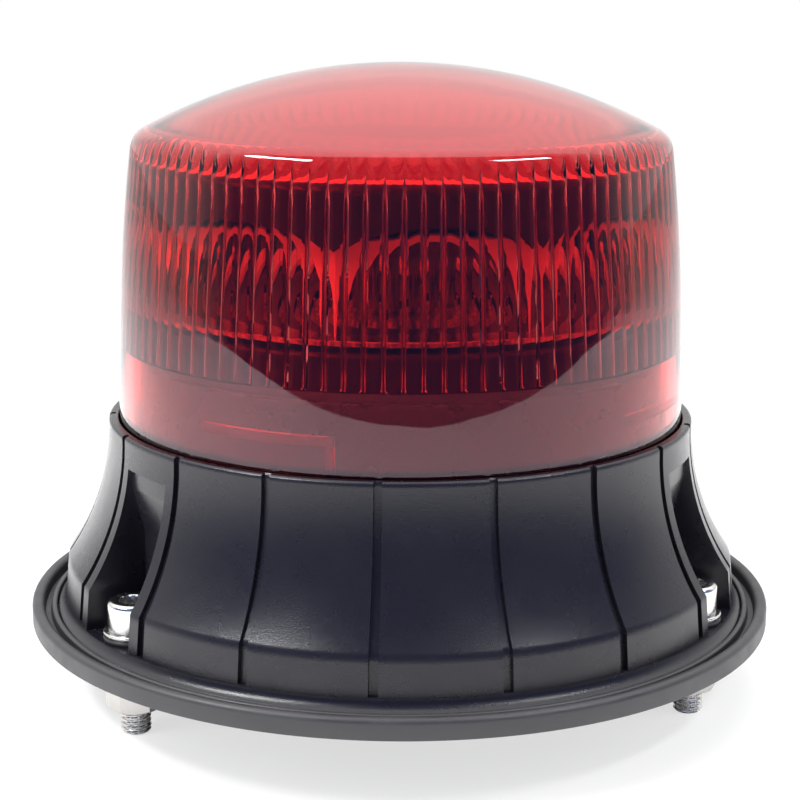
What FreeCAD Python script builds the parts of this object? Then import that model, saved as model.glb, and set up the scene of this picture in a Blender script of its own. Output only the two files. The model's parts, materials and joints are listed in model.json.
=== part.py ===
import FreeCAD, Part
import Sketcher
import math
import os

# Rotating warning beacon on a flared three-bolt base. Millimetres; Z points up.
# The origin is the centre of the gasket's underside, the plane the beacon is bolted down on.
# Angles are polar, in degrees from +X towards +Y; the front of the beacon faces -Y.

# name, value, what it is
DIMENSIONS = (
    # the collar carries the lens, and the other radii step out and in from it
    ("collar_radius", 61.4, "collar at the top of the flare"),
    # rubber mounting gasket
    ("gasket_web", 1.5, "rubber between the flange and the mounting surface"),
    ("gasket_step", 1.0, "how far the gasket stands back from the edge of the bay"),
    ("gasket_hole_play", 0.9, "room round a bolt in the gasket"),
    ("lip_fit", 0.2, "gap between the flange and the inner lip"),
    ("inner_lip_width", 1.2, "lip that hugs the housing flange"),
    ("inner_lip_rise", 1.8, "its height above the web"),
    ("trough_width", 1.4, "groove between the two lips"),
    ("outer_lip_width", 2.6, "outer lip of the gasket"),
    ("outer_lip_rise", 2.7, "its height above the web"),
    ("outer_lip_round", 1.17, "rounding of its top edges"),
    # housing outside
    ("flange_edge", 1.5, "thickness of the flange at its rim"),
    ("foot_spread", 1.8, "how far the flange stands out from the band"),
    ("foot_height", 2.4, "rise of the hollow foot between flange and band"),
    ("foot_hollow", 0.8, "bend of that hollow as a share of its slope"),
    ("band_draft", 0.7, "how far the band leans out down to its foot"),
    ("band_height", 7.44, "height of the band"),
    ("flare_spread", 9.3, "how far the flare spreads from the collar down to the band"),
    ("flare_bend", 51.0, "radius of the hollow flare"),
    ("collar_edge", 0.5, "bevel on the collar rim"),
    ("collar_wall", 1.9, "wall round the lens skirt"),
    ("shell_wall", 2.5, "moulded wall of the housing"),
    ("bay_wall", 2.0, "wall between the electronics bay and the hollows beside it"),
    # ribs drawn by narrow grooves
    ("groove_count", 18, "grooves round the flare"),
    ("groove_depth", 1.0, "depth of a groove"),
    ("groove_angle", 1.4, "width of a groove in degrees"),
    ("groove_foot", 2.3, "height of a groove's square end above the flange"),
    # bolt pockets
    ("bolt_count", 3, "mounting bolts and their pockets"),
    ("bolt_offset", 3.6, "how far the circle of the bolts lies outside the collar"),
    ("pocket_angle", 14.0, "width of a pocket in degrees"),
    ("seat_rise", 1.6, "height of the seat in a pocket above the flange"),
    ("pocket_brow", 6.0, "whole collar left above a pocket"),
    ("pocket_play", 0.4, "gap between a washer and the pocket's back wall"),
    ("pocket_lean", 12.0, "height over which the back wall leans out at the top"),
    ("pocket_sill", 1.0, "drop from the lens channel to the upright top of the back wall"),
    ("pocket_skin", 1.4, "wall left between a pocket and the lens channel"),
    ("pocket_backing", 0.6, "extra wall behind a pocket"),
    ("pocket_cheek", 2.5, "solid wall beside a pocket, in degrees"),
    # housing inside
    ("channel_depth", 8.7, "depth of the channel that takes the lens skirt"),
    ("channel_web", 2.5, "thickness under the channel"),
    ("spigot_wall", 2.0, "wall of the spigot inside the lens skirt"),
    ("spigot_rise", 12.9, "its top above the collar"),
    ("shelf_rise", 1.3, "shelf that carries drum and gear plate, above the collar"),
    ("shelf_thickness", 2.5, "its thickness"),
    # bayonet between lens and spigot
    ("bayonet_count", 4, "catches round the bayonet"),
    ("lock_angle", -108.5, "polar angle of the stop on the first catch"),
    ("bayonet_gap", 0.4, "running gap of the bayonet"),
    ("bayonet_play", 0.3, "gap between a housing ledge and the lens skirt"),
    ("catch_reach", 1.3, "how far a ledge stands out of the spigot"),
    ("catch_root", 0.5, "how deep a catch is rooted in its wall"),
    ("lug_angle", 22.0, "width of a lens lug in degrees"),
    ("lug_lift", 1.2, "height of a lug above the lens rim"),
    ("lug_height", 2.4, "its height"),
    ("ledge_angle", 26.0, "width of a housing ledge in degrees"),
    ("ledge_height", 2.0, "its height"),
    ("guide_angle", 28.5, "width of the guide rib on the lens in degrees"),
    ("guide_rise", 12.3, "top of the guide rib above the underside of a lug"),
    ("guide_height", 1.8, "its height"),
    ("stop_angle", 1.6, "width of the stop rib in degrees"),
    # lens
    ("skirt_gap", 0.3, "gap round the lens skirt in the collar"),
    ("lens_wall", 2.6, "lens wall"),
    ("draft_drop", 0.7, "drop from the collar to where the lens begins to draw in"),
    ("lens_draw", 3.9, "how far the lens draws in up to the shoulder"),
    ("shoulder_round", 3.6, "rounding where wall and dome meet"),
    ("dome_bend", 112.0, "radius of the dome"),
    ("dome_wall", 3.0, "thickness of the dome"),
    ("flute_count", 96, "upright flutes inside the lens"),
    ("flute_start", 2.8, "lower end of the flutes above the spigot"),
    ("flute_depth", 1.0, "depth of a flute"),
    ("seal_width", 2.6, "ring seal under the lens rim"),
    ("seal_height", 2.0, "its height"),
    ("seal_gap", 0.1, "gap above and below the seal"),
    # drum and its deck
    ("drum_gap", 1.0, "gap between the fixed drum and the spigot"),
    ("drum_wall", 2.0, "wall of the drum"),
    ("drum_height", 20.5, "its height"),
    ("deck_thickness", 2.5, "thickness of its deck"),
    ("deck_play", 1.5, "gap between the deck and the lamp board"),
    ("drum_round", 1.2, "rounding on the top edge"),
    ("drum_boss_radius", 3.4, "boss round a drum screw"),
    ("boss_merge", 0.4, "how deep a boss is merged into the wall beside it"),
    ("drum_screw_angle", 30.0, "polar angle of the first drum screw"),
    # lamp board and its heat sink
    ("sink_overlap", 9.0, "how far the heat sink reaches under the deck"),
    ("sink_thickness", 2.5, "thickness of its plate"),
    ("sink_screw_inset", 4.0, "distance of its screws from the rim"),
    ("sink_tube_radius", 8.0, "tube for the upper bush"),
    ("tube_drop", 0.6, "drop from the deck to the top of the tube"),
    ("tube_length", 12.9, "length of the tube"),
    ("lamp_board_radius", 22.5, "lamp board"),
    ("lamp_board_thickness", 1.2, "its thickness"),
    ("lamp_board_inset", 2.6, "distance of its screws from the rim"),
    ("lamp_board_play", 0.4, "gap between the board and the tube"),
    ("lamp_count", 16, "light emitting diodes in a ring"),
    ("lamp_inset", 7.5, "distance of that ring from the rim of the board"),
    ("lamp_size", 3.2, "side of one diode"),
    ("lamp_height", 1.1, "height of one diode"),
    # gear plate, shaft and bushes
    ("plate_play", 0.1, "gap between the gear plate and the drum bosses"),
    ("plate_thickness", 2.0, "thickness of the gear plate"),
    ("plate_edge", 3.5, "distance of its screws from its rim and from the opening in the shelf"),
    ("plate_screw_angle", 90.0, "polar angle of its first screw"),
    ("shaft_radius", 3.0, "spindle of the rotor"),
    ("shaft_tail", 1.8, "spindle below the wheel"),
    ("shaft_drop", 0.6, "drop from the crown's hub to the top of the spindle"),
    ("bush_radius", 5.0, "outside of a plain bush"),
    ("bush_length", 9.0, "its length"),
    ("bush_flange_radius", 6.6, "flange of the lower bush"),
    ("bush_flange", 0.8, "thickness of that flange"),
    ("bush_stand", 1.5, "how far the lower bush stands above the plate"),
    ("running_gap", 0.04, "radial gap of a shaft in its bush"),
    ("clip_radius", 5.2, "retaining clip under the gear"),
    ("clip_thickness", 0.8, "its thickness"),
    ("clip_neck", 0.6, "depth of the groove that holds the clip"),
    # gears
    ("wheel_teeth", 48, "teeth of the rotor's wheel"),
    ("pinion_teeth", 16, "teeth of the motor pinion"),
    ("mesh_gap", 0.12, "added to the centre distance as backlash"),
    ("wheel_drop", 7.6, "drop from the shelf to the underside of the wheel"),
    ("wheel_width", 4.0, "face width of the wheel"),
    ("wheel_hub_radius", 6.5, "hub of the wheel"),
    ("wheel_hub_gap", 0.3, "gap between that hub and the lower bush"),
    ("wheel_rim", 5.0, "rim of the wheel inside its pitch circle"),
    ("wheel_web", 2.0, "thickness of the thin web of the wheel"),
    ("pinion_overhang", 0.6, "pinion wider than the wheel at each side"),
    # motor
    ("motor_angle", 45.0, "polar angle of the motor"),
    ("motor_radius", 12.0, "can of the motor"),
    ("motor_room", 6.0, "room between the can and the drum"),
    ("motor_headroom", 0.7, "gap between the can and the heat sink"),
    ("motor_bevel", 1.0, "bevel on the can's top edge"),
    ("motor_end", 2.5, "thickness of the can's end"),
    ("motor_boss_radius", 3.4, "front boss of the motor"),
    ("motor_boss_height", 1.6, "its height"),
    ("spindle_radius", 1.0, "motor spindle"),
    ("spindle_tail", 0.6, "spindle below the pinion"),
    ("spindle_end_gap", 0.1, "gap above the spindle"),
    ("motor_screw_spread", 8.5, "distance of a motor screw from the motor's axis"),
    # rotor
    ("scoop_count", 8, "scoops round the rotor"),
    ("scoop_turn", -88.3, "polar angle of the scoop that faces the front"),
    ("crown_gap", 0.9, "gap between the crown and the drum's deck"),
    ("crown_inset", 0.8, "room between the crown's corners and the hood"),
    ("scoop_lift", 4.6, "height of a scoop's own axis above the crown's underside"),
    ("scoop_rise", 15.4, "height of a scoop above that axis"),
    ("scoop_lap", 0.9, "how far a scoop reaches past the middle of the web beside it"),
    ("scoop_wall", 1.4, "wall of a scoop at its mouth"),
    ("scoop_end_wall", 3.0, "wall of a scoop at its back"),
    ("scoop_core", 7.0, "distance of a scoop's back from the axis"),
    ("arcade_wall", 1.6, "upright band that joins the mouths, under the hood's edge"),
    ("arcade_drop", 0.9, "drop from the top of a scoop to the top of that band"),
    ("rim_overhang", 1.2, "flat rim under the scoops, wider than the hood"),
    ("rim_thickness", 1.2, "its thickness"),
    ("hub_radius", 8.5, "hub in the middle of the crown"),
    ("hub_rise", 2.2, "its top above the scoops"),
    ("hood_gap", 2.3, "room between the hood and the flutes"),
    ("hood_wall", 2.0, "wall of the hood"),
    ("hood_round", 2.4, "rounding of its top edge"),
    ("hood_lift", 1.6, "gap between its edge and the top of a scoop"),
    ("hood_scallop", 4.4, "rise of its edge over each scoop"),
    ("hood_boss_radius", 8.5, "boss inside the hood"),
    ("hood_boss_height", 5.6, "its height"),
    ("hood_headroom", 5.4, "rise from the hood's top to the lens's shoulder"),
    # underside
    ("cover_play", 0.3, "gap round the bottom cover"),
    ("cover_recess", 1.5, "height of the cover above the underside of the housing"),
    ("cover_thickness", 3.0, "its thickness"),
    ("cover_screw_inset", 3.4, "distance of its screws from the wall of the bay"),
    ("cover_screw_count", 4, "screws of the cover"),
    ("cover_screw_angle", 45.0, "polar angle of the first cover screw"),
    ("cover_boss_radius", 4.4, "housing boss for a cover screw"),
    ("cover_boss_height", 14.0, "height of that boss"),
    ("stud_radius", 3.4, "post under the driver board"),
    ("stud_height", 8.0, "its height above the cover"),
    ("stud_inset", 6.0, "distance of the posts from the board's rim"),
    ("board_room", 4.2, "gap between the driver board and the cover bosses"),
    ("board_thickness", 1.6, "thickness of the driver board"),
    ("inlet_offset", 20.0, "distance of the cable inlet from the axis"),
    ("inlet_angle", -45.0, "polar angle of the cable inlet"),
    ("inlet_bore_radius", 3.0, "bore of the inlet grommet"),
    ("inlet_neck_radius", 5.0, "neck of the grommet in the cover"),
    ("inlet_flange_radius", 8.0, "flange of the grommet"),
    ("inlet_flange", 1.4, "thickness of each flange"),
    ("vent_radius", 5.5, "head of the breather vent"),
    ("vent_head", 1.2, "thickness of that head"),
    ("vent_stem_radius", 3.3, "its stem in the cover"),
    ("vent_angle", 135.0, "polar angle of the vent"),
    # parts on the driver board
    ("terminal_inset", 13.0, "distance of the terminal block from the board's rim"),
    ("terminal_depth", 9.0, "depth of the terminal block"),
    ("terminal_width", 16.0, "its width"),
    ("terminal_height", 10.0, "its height"),
    ("wire_pitch", 5.0, "distance between its wire holes"),
    ("wire_hole_radius", 1.9, "one wire hole"),
    ("wire_hole_depth", 3.0, "its depth"),
    ("capacitor_radius", 5.0, "one capacitor"),
    ("capacitor_height", 12.0, "its height"),
    ("capacitor_inset", 14.0, "distance of the outer capacitor from the board's rim"),
    ("capacitor_pitch", 12.0, "distance from there to the inner one along the radius"),
    ("capacitor_angle", 75.0, "polar angle of the outer capacitor"),
    ("capacitor_turn", 15.0, "angle between the two"),
    ("inductor_radius", 6.5, "power inductor"),
    ("inductor_height", 8.0, "its height"),
    ("inductor_inset", 18.0, "its distance from the board's rim"),
    ("inductor_angle", 180.0, "its polar angle"),
    ("chip_side", 10.0, "controller chip"),
    ("chip_height", 1.4, "its height"),
    ("chip_inset", 20.0, "its distance from the board's rim"),
    ("chip_angle", 225.0, "its polar angle"),
    # mounting hardware, metric six
    ("bolt_radius", 3.0, "thread outside"),
    ("bolt_shank_radius", 2.675, "rolled shank"),
    ("bolt_head_radius", 5.0, "cap head"),
    ("bolt_head_height", 6.0, "its height"),
    ("bolt_head_edge", 0.5, "bevel on its top edge"),
    ("bolt_reach", 15.0, "how far a bolt reaches below the gasket"),
    ("bolt_point", 0.6, "bevel at the end of the thread"),
    ("thread_gap", 0.4, "gap between the nut and the drawn thread"),
    ("socket_across", 5.0, "hexagon socket across flats"),
    ("socket_depth", 3.2, "its depth"),
    ("washer_radius", 6.0, "washers"),
    ("washer_play", 0.2, "room round a bolt in a steel washer or sleeve"),
    ("washer_thickness", 1.0, "steel washer"),
    ("seal_washer_thickness", 0.9, "rubber washer below it"),
    ("sleeve_radius", 4.6, "steel sleeve through the flange"),
    ("nut_across", 10.0, "hexagon nut across flats"),
    ("nut_height", 5.0, "its height"),
    ("nut_drop", 4.8, "how far the nut hangs below the gasket"),
    ("nut_gap", 0.025, "gap between shank and nut"),
    # small screws
    ("screw_radius", 1.5, "small screws"),
    ("screw_play", 0.1, "room round a small screw"),
    ("screw_head_radius", 2.7, "their heads"),
    ("screw_head_height", 1.7, "height of those heads"),
    ("screw_slot_width", 0.7, "driver slot in a head"),
    ("screw_hold", 6.0, "length of a small screw in its boss"),
    ("screw_spare", 1.0, "depth of a screw hole past the screw's end"),
    ("deck_hold", 1.4, "length of a heat sink screw in the deck"),
    ("board_hold", 5.0, "length of a board screw in its post"),
    ("board_screw_radius", 1.0, "screws of the lamp board"),
    ("board_screw_head", 1.8, "their heads"),
    ("board_screw_hold", 2.0, "their length in the heat sink"),
    ("hood_screw_radius", 2.0, "centre screw of the rotor"),
    ("hood_screw_head", 4.0, "its head"),
    ("hood_screw_hold", 6.0, "its length in the spindle"),
)

doc = FreeCAD.newDocument("rotating_beacon")
sheet = doc.addObject("Spreadsheet::Sheet", "Sizes")


class Size:
    """A number together with the sheet formula that gives it."""

    def __init__(self, value, formula=None):
        self.value = float(value)
        self.formula = formula or repr(self.value)

    def _join(self, sign, other, value, turned=False):
        first, second = (other, self) if turned else (self, other)
        return Size(value, f"({first.formula} {sign} {second.formula})")

    def __add__(self, other):
        other = as_size(other)
        return self._join("+", other, self.value + other.value)

    def __sub__(self, other):
        other = as_size(other)
        return self._join("-", other, self.value - other.value)

    def __mul__(self, other):
        other = as_size(other)
        return self._join("*", other, self.value * other.value)

    def __truediv__(self, other):
        other = as_size(other)
        return self._join("/", other, self.value / other.value)

    def __radd__(self, other):
        return as_size(other) + self

    def __rsub__(self, other):
        return as_size(other) - self

    def __rmul__(self, other):
        return as_size(other) * self

    def __rtruediv__(self, other):
        return as_size(other) / self

    def __neg__(self):
        return Size(-self.value, f"(0 - {self.formula})")


def as_size(number):
    return number if isinstance(number, Size) else Size(number)


def root(square):
    return Size(math.sqrt(square.value), f"sqrt({square.formula})")


def cosine(angle):
    angle = as_size(angle)
    return Size(math.cos(math.radians(angle.value)), f"cos({angle.formula})")


def sine(angle):
    angle = as_size(angle)
    return Size(math.sin(math.radians(angle.value)), f"sin({angle.formula})")


class Table:
    """Every dimension of the table by its name, as a Size."""


S = Table()
for row, (name, value, note) in enumerate(DIMENSIONS, start=1):
    sheet.set(f"A{row}", name)
    sheet.set(f"B{row}", str(value))
    sheet.set(f"C{row}", note)
    sheet.setAlias(f"B{row}", name)
    setattr(S, name, Size(value, f"Sizes.{name}"))
doc.recompute()


def bind(feature, prop, size):
    """Sets a property and ties it to its formula."""
    size = as_size(size)
    feature.setExpression(prop, size.formula)


def new_body(label):
    body = doc.addObject("PartDesign::Body", label)
    body.Label = label
    body.AllowCompound = True
    return body


def origin_part(body, role):
    return next(f for f in body.Origin.OriginFeatures if f.Role == role)


def meridian(body, angle=0.0):
    """A sketch in the upright half plane at a polar angle: x is the radius, y the height."""
    sketch = body.newObject("Sketcher::SketchObject", "outline")
    sketch.AttachmentSupport = (origin_part(body, "XZ_Plane"), [""])
    sketch.MapMode = "FlatFace"
    angle = as_size(angle)
    turn = FreeCAD.Rotation(FreeCAD.Vector(0, 1, 0), 1.0)
    sketch.AttachmentOffset = FreeCAD.Placement(FreeCAD.Vector(), turn)
    bind(sketch, "AttachmentOffset.Rotation.Angle", angle)
    return sketch


def level(body, height, angle=0.0):
    """A flat sketch at a height, turned to a polar angle: x points outwards there."""
    sketch = body.newObject("Sketcher::SketchObject", "plan")
    sketch.AttachmentSupport = (origin_part(body, "XY_Plane"), [""])
    sketch.MapMode = "FlatFace"
    turn = FreeCAD.Rotation(FreeCAD.Vector(0, 0, 1), 1.0)
    sketch.AttachmentOffset = FreeCAD.Placement(FreeCAD.Vector(), turn)
    bind(sketch, "AttachmentOffset.Base.z", height)
    bind(sketch, "AttachmentOffset.Rotation.Angle", angle)
    return sketch


def pin_down(sketch, geometry, point, x, y):
    """Fixes a point of a sketch at x, y, tied to the sheet."""
    for kind, axis, size in (("DistanceX", -2, as_size(x)), ("DistanceY", -1, as_size(y))):
        if abs(size.value) < 1e-9:
            sketch.addConstraint(Sketcher.Constraint("PointOnObject", geometry, point, axis))
        else:
            rule = Sketcher.Constraint(kind, -1, 1, geometry, point, size.value)
            index = sketch.addConstraint(rule)
            bind(sketch, f"Constraints[{index}]", size)


def draw(sketch, corners):
    """Closed outline through corners (x, y) or (x, y, bend).

    A bend is the radius of the side that leads to the corner, positive where it turns left.
    """
    points = [(as_size(c[0]), as_size(c[1])) for c in corners]
    first = sketch.GeometryCount
    ends = []
    for i, corner in enumerate(corners):
        a, b = points[i - 1], points[i]
        start = FreeCAD.Vector(a[0].value, a[1].value, 0)
        end = FreeCAD.Vector(b[0].value, b[1].value, 0)
        if len(corner) < 3:
            sketch.addGeometry(Part.LineSegment(start, end), False)
            ends.append((1, 2))
            continue
        bend = as_size(corner[2])
        chord = end - start
        left = FreeCAD.Vector(-chord.y, chord.x, 0) / chord.Length
        reach = math.sqrt(bend.value ** 2 - chord.Length ** 2 / 4)
        centre = (start + end) / 2 + left * math.copysign(reach, bend.value)
        one, two = (start, end) if bend.value > 0 else (end, start)
        angles = [math.atan2(p.y - centre.y, p.x - centre.x) for p in (one, two)]
        circle = Part.Circle(centre, FreeCAD.Vector(0, 0, 1), abs(bend.value))
        index = sketch.addGeometry(Part.ArcOfCircle(circle, angles[0], angles[1]), False)
        ends.append((1, 2) if bend.value > 0 else (2, 1))
        rule = sketch.addConstraint(Sketcher.Constraint("Radius", index, abs(bend.value)))
        bind(sketch, f"Constraints[{rule}]", bend if bend.value > 0 else -bend)
    for i in range(len(corners)):
        following = (i + 1) % len(corners)
        rule = Sketcher.Constraint("Coincident", first + i, ends[i][1], first + following, ends[following][0])
        sketch.addConstraint(rule)
        pin_down(sketch, first + i, ends[i][1], points[i][0], points[i][1])
    return sketch


def draw_circle(sketch, x, y, radius):
    centre = FreeCAD.Vector(as_size(x).value, as_size(y).value, 0)
    radius = as_size(radius)
    circle = Part.Circle(centre, FreeCAD.Vector(0, 0, 1), radius.value)
    index = sketch.addGeometry(circle, False)
    rule = sketch.addConstraint(Sketcher.Constraint("Radius", index, radius.value))
    bind(sketch, f"Constraints[{rule}]", radius)
    pin_down(sketch, index, 3, x, y)
    return sketch


def turned(body, corners, angle=360.0, at=0.0, cut=False, about=None):
    """Turns an outline round the beacon's axis, or round the upright line at radius `about`."""
    sketch = draw(meridian(body, at), corners)
    kind = "PartDesign::Groove" if cut else "PartDesign::Revolution"
    if about is not None:
        about = as_size(about)
        ends = [FreeCAD.Vector(about.value, height, 0) for height in (-1.0, 1.0)]
        line = sketch.addGeometry(Part.LineSegment(ends[0], ends[1]), True)
        pin_down(sketch, line, 1, about, -1.0)
        pin_down(sketch, line, 2, about, 1.0)
    feature = body.newObject(kind, "turned")
    feature.Profile = sketch
    feature.ReferenceAxis = (sketch, ["V_Axis" if about is None else "Axis0"])
    feature.Midplane = as_size(angle).value < 360
    bind(feature, "Angle", angle)
    body.Tip = feature
    return feature


def post(body, radius, low, high, about=0.0, at=0.0, bore=None, cut=False):
    """A round post, or a hole where cut is set, on the upright line at radius `about`."""
    inner = 0.0 if bore is None else bore
    corners = [(about + as_size(inner), low), (about + as_size(radius), low),
               (about + as_size(radius), high), (about + as_size(inner), high)]
    centred = as_size(about).value == 0
    return turned(body, corners, at=at, cut=cut, about=None if centred else about)


def pad(body, sketch, length, cut=False):
    """Raises a flat sketch upwards, or cuts upwards where cut is set."""
    feature = body.newObject("PartDesign::Pocket" if cut else "PartDesign::Pad", "raised")
    feature.Profile = sketch
    bind(feature, "Length", length)
    feature.Reversed = cut
    body.Tip = feature
    return feature


def repeat(body, features, count):
    """Repeats features evenly round the beacon's axis."""
    pattern = body.newObject("PartDesign::PolarPattern", "round_pattern")
    pattern.Originals = features if isinstance(features, list) else [features]
    pattern.Axis = (origin_part(body, "Z_Axis"), [""])
    pattern.Angle = 360
    bind(pattern, "Occurrences", count)
    body.Tip = pattern
    return pattern


def soften(body, feature, radius, places, bevel=False):
    """Rounds or bevels the circular edges of a feature at the given (radius, height) places."""
    doc.recompute()
    names = []
    for number, edge in enumerate(feature.Shape.Edges, start=1):
        if edge.Degenerated or not isinstance(edge.Curve, Part.Circle):
            continue
        found = (edge.Curve.Radius, edge.Curve.Center.z)
        if any(math.dist(found, [as_size(v).value for v in place]) < 1e-3 for place in places):
            names.append(f"Edge{number}")
    kind, prop = ("PartDesign::Chamfer", "Size") if bevel else ("PartDesign::Fillet", "Radius")
    softened = body.newObject(kind, "softened")
    softened.Base = (feature, names)
    bind(softened, prop, radius)
    body.Tip = softened
    return softened


# Sizes that follow from the table

BOLT_AT = 90.0
SCREWS = 3
OVERCUT = 1.0
CLIP_PLAY = 0.1
# shares: clip mouth of its neck, screw slot of the head, room outside the seal of the whole room
CLIP_MOUTH = 1.67
SLOT_DEPTH = 0.6
SLOT_LENGTH = 1.3
SEAL_OUTER_SHARE = 0.3
# gear teeth, in degrees and in modules, and where the points of a flank lie between root and tip
PRESSURE_ANGLE = 20.0
ADDENDUM = 0.95
DEDENDUM = 1.2
ROOT_RISE = 0.05
FLANK_POINTS = (0.0, 0.25, 0.6, 1.0)
HALF_SCOOP = 180 / S.scoop_count
# heights of the housing
FLANGE_TOP = S.gasket_web + S.flange_edge
FOOT_TOP = FLANGE_TOP + S.foot_height
FOOT_BEND = S.foot_hollow * root(S.foot_height * S.foot_height + S.foot_spread * S.foot_spread)
KINK_HEIGHT = FOOT_TOP + S.band_height
FLARE_REST = S.flare_bend - S.flare_spread
FLARE_TOP = KINK_HEIGHT + root(S.flare_bend * S.flare_bend - FLARE_REST * FLARE_REST)
COLLAR_TOP = FLARE_TOP + S.collar_edge
CHANNEL_FLOOR = COLLAR_TOP - S.channel_depth
CHANNEL_UNDER = CHANNEL_FLOOR - S.channel_web
SPIGOT_TOP = COLLAR_TOP + S.spigot_rise
SHELF_TOP = COLLAR_TOP + S.shelf_rise
SHELF_UNDER = SHELF_TOP - S.shelf_thickness
POCKET_FLOOR = FLANGE_TOP + S.seat_rise
POCKET_TOP = COLLAR_TOP - S.pocket_brow
# radii of the housing
KINK_RADIUS = S.collar_radius + S.flare_spread
BAND_FOOT = KINK_RADIUS + S.band_draft
FLANGE_RADIUS = BAND_FOOT + S.foot_spread
CHANNEL_RADIUS = S.collar_radius - S.collar_wall
BOLT_CIRCLE = S.collar_radius + S.bolt_offset
POCKET_BACK = BOLT_CIRCLE - S.washer_radius - S.pocket_play
BAY_RADIUS = POCKET_BACK - S.bay_wall - S.pocket_backing
RELIEF_ANGLE = 360 / S.bolt_count - S.pocket_angle - 2 * S.pocket_cheek
# lens
LENS_RADIUS = CHANNEL_RADIUS - S.skirt_gap
SKIRT_BORE = LENS_RADIUS - S.lens_wall
SHOULDER_RADIUS = LENS_RADIUS - S.lens_draw
LENS_BOTTOM = CHANNEL_FLOOR + S.seal_height + 2 * S.seal_gap
LUG_BOTTOM = LENS_BOTTOM + S.lug_lift
GUIDE_TOP = LUG_BOTTOM + S.guide_rise
DRAFT_START = COLLAR_TOP - S.draft_drop
FLUTE_BOTTOM = SPIGOT_TOP + S.flute_start
# spigot, drum and what they carry
SPIGOT_RADIUS = SKIRT_BORE - S.catch_reach - S.bayonet_play
SPIGOT_BORE = SPIGOT_RADIUS - S.spigot_wall
DRUM_RADIUS = SPIGOT_BORE - S.drum_gap
DRUM_BORE = DRUM_RADIUS - S.drum_wall
DRUM_TOP = SHELF_TOP + S.drum_height
DECK_UNDER = DRUM_TOP - S.deck_thickness
DECK_BORE = S.lamp_board_radius + S.deck_play
DRUM_BOSS_CIRCLE = DRUM_BORE - S.drum_boss_radius + S.boss_merge
PLATE_RADIUS = DRUM_BOSS_CIRCLE - S.drum_boss_radius - S.plate_play
PLATE_SCREW_CIRCLE = PLATE_RADIUS - S.plate_edge
SHELF_BORE = PLATE_SCREW_CIRCLE - S.plate_edge
PLATE_TOP = SHELF_TOP + S.plate_thickness
SINK_RADIUS = DECK_BORE + S.sink_overlap
SINK_UNDER = DECK_UNDER - S.sink_thickness
SINK_SCREW_CIRCLE = SINK_RADIUS - S.sink_screw_inset
TUBE_TOP = DRUM_TOP - S.tube_drop
LAMP_BOARD_TOP = DECK_UNDER + S.lamp_board_thickness
LAMP_SCREW_CIRCLE = S.lamp_board_radius - S.lamp_board_inset
LAMP_CIRCLE = S.lamp_board_radius - S.lamp_inset
# the gears fill the distance from the spindle to the motor
MOTOR_AWAY = DRUM_BORE - S.motor_radius - S.motor_room
GEAR_MODULE = 2 * MOTOR_AWAY / (S.wheel_teeth + S.pinion_teeth)
CENTRE_DISTANCE = MOTOR_AWAY + S.mesh_gap
MOTOR_TOP = SINK_UNDER - S.motor_headroom
WHEEL_BOTTOM = SHELF_TOP - S.wheel_drop
# rotor
HOOD_RADIUS = SHOULDER_RADIUS - S.lens_wall - S.flute_depth - S.hood_gap
HOOD_BORE = HOOD_RADIUS - S.hood_wall
RIM_RADIUS = HOOD_RADIUS + S.rim_overhang
CROWN_APOTHEM = HOOD_BORE * cosine(HALF_SCOOP) - S.crown_inset
CROWN_BOTTOM = DRUM_TOP + S.crown_gap
SCOOP_CENTRE = CROWN_BOTTOM + S.scoop_lift
SCOOP_REACH = CROWN_APOTHEM * sine(HALF_SCOOP) / cosine(HALF_SCOOP) + S.scoop_lap
SCOOP_BACK = CROWN_APOTHEM - S.scoop_core
SCOOP_TOP = SCOOP_CENTRE + S.scoop_rise
HUB_TOP = SCOOP_TOP + S.hub_rise
SHAFT_TOP = HUB_TOP - S.shaft_drop
HOOD_TIP = SCOOP_TOP + S.hood_lift - S.hood_scallop
HOOD_UNDER = HUB_TOP + S.hood_boss_height
HOOD_TOP = HOOD_UNDER + S.hood_wall
# dome over the rotor
SHOULDER_HEIGHT = HOOD_TOP + S.hood_headroom
LENS_DROP = SHOULDER_HEIGHT - DRAFT_START
LENS_BEND = (LENS_DROP * LENS_DROP + S.lens_draw * S.lens_draw) / (2 * S.lens_draw)
DOME_MIDDLE = SHOULDER_HEIGHT - root(S.dome_bend * S.dome_bend - SHOULDER_RADIUS * SHOULDER_RADIUS)
APEX = DOME_MIDDLE + S.dome_bend
# underside and driver board
COVER_RADIUS = BAY_RADIUS - S.cover_play
COVER_BOTTOM = S.gasket_web + S.cover_recess
COVER_TOP = COVER_BOTTOM + S.cover_thickness
COVER_SCREW_CIRCLE = BAY_RADIUS - S.cover_screw_inset
BOARD_BOTTOM = COVER_TOP + S.stud_height
BOARD_TOP = BOARD_BOTTOM + S.board_thickness
BOARD_RADIUS = COVER_SCREW_CIRCLE - S.cover_boss_radius - S.board_room
STUD_CIRCLE = BOARD_RADIUS - S.stud_inset
# mounting hardware
WASHER_SEAT = POCKET_FLOOR + S.seal_washer_thickness
HEAD_SEAT = WASHER_SEAT + S.washer_thickness
HEAD_TOP = HEAD_SEAT + S.bolt_head_height
NUT_BOTTOM = -(S.nut_drop + S.nut_height)


def flare_radius(height):
    """Outside radius of the flare at a height."""
    drop = FLARE_TOP - height
    return S.collar_radius + S.flare_bend - root(S.flare_bend * S.flare_bend - drop * drop)


def lens_outside(height):
    """Outside radius of the lens wall at a height above the skirt."""
    rise = height - DRAFT_START
    return LENS_RADIUS - LENS_BEND + root(LENS_BEND * LENS_BEND - rise * rise)


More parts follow.
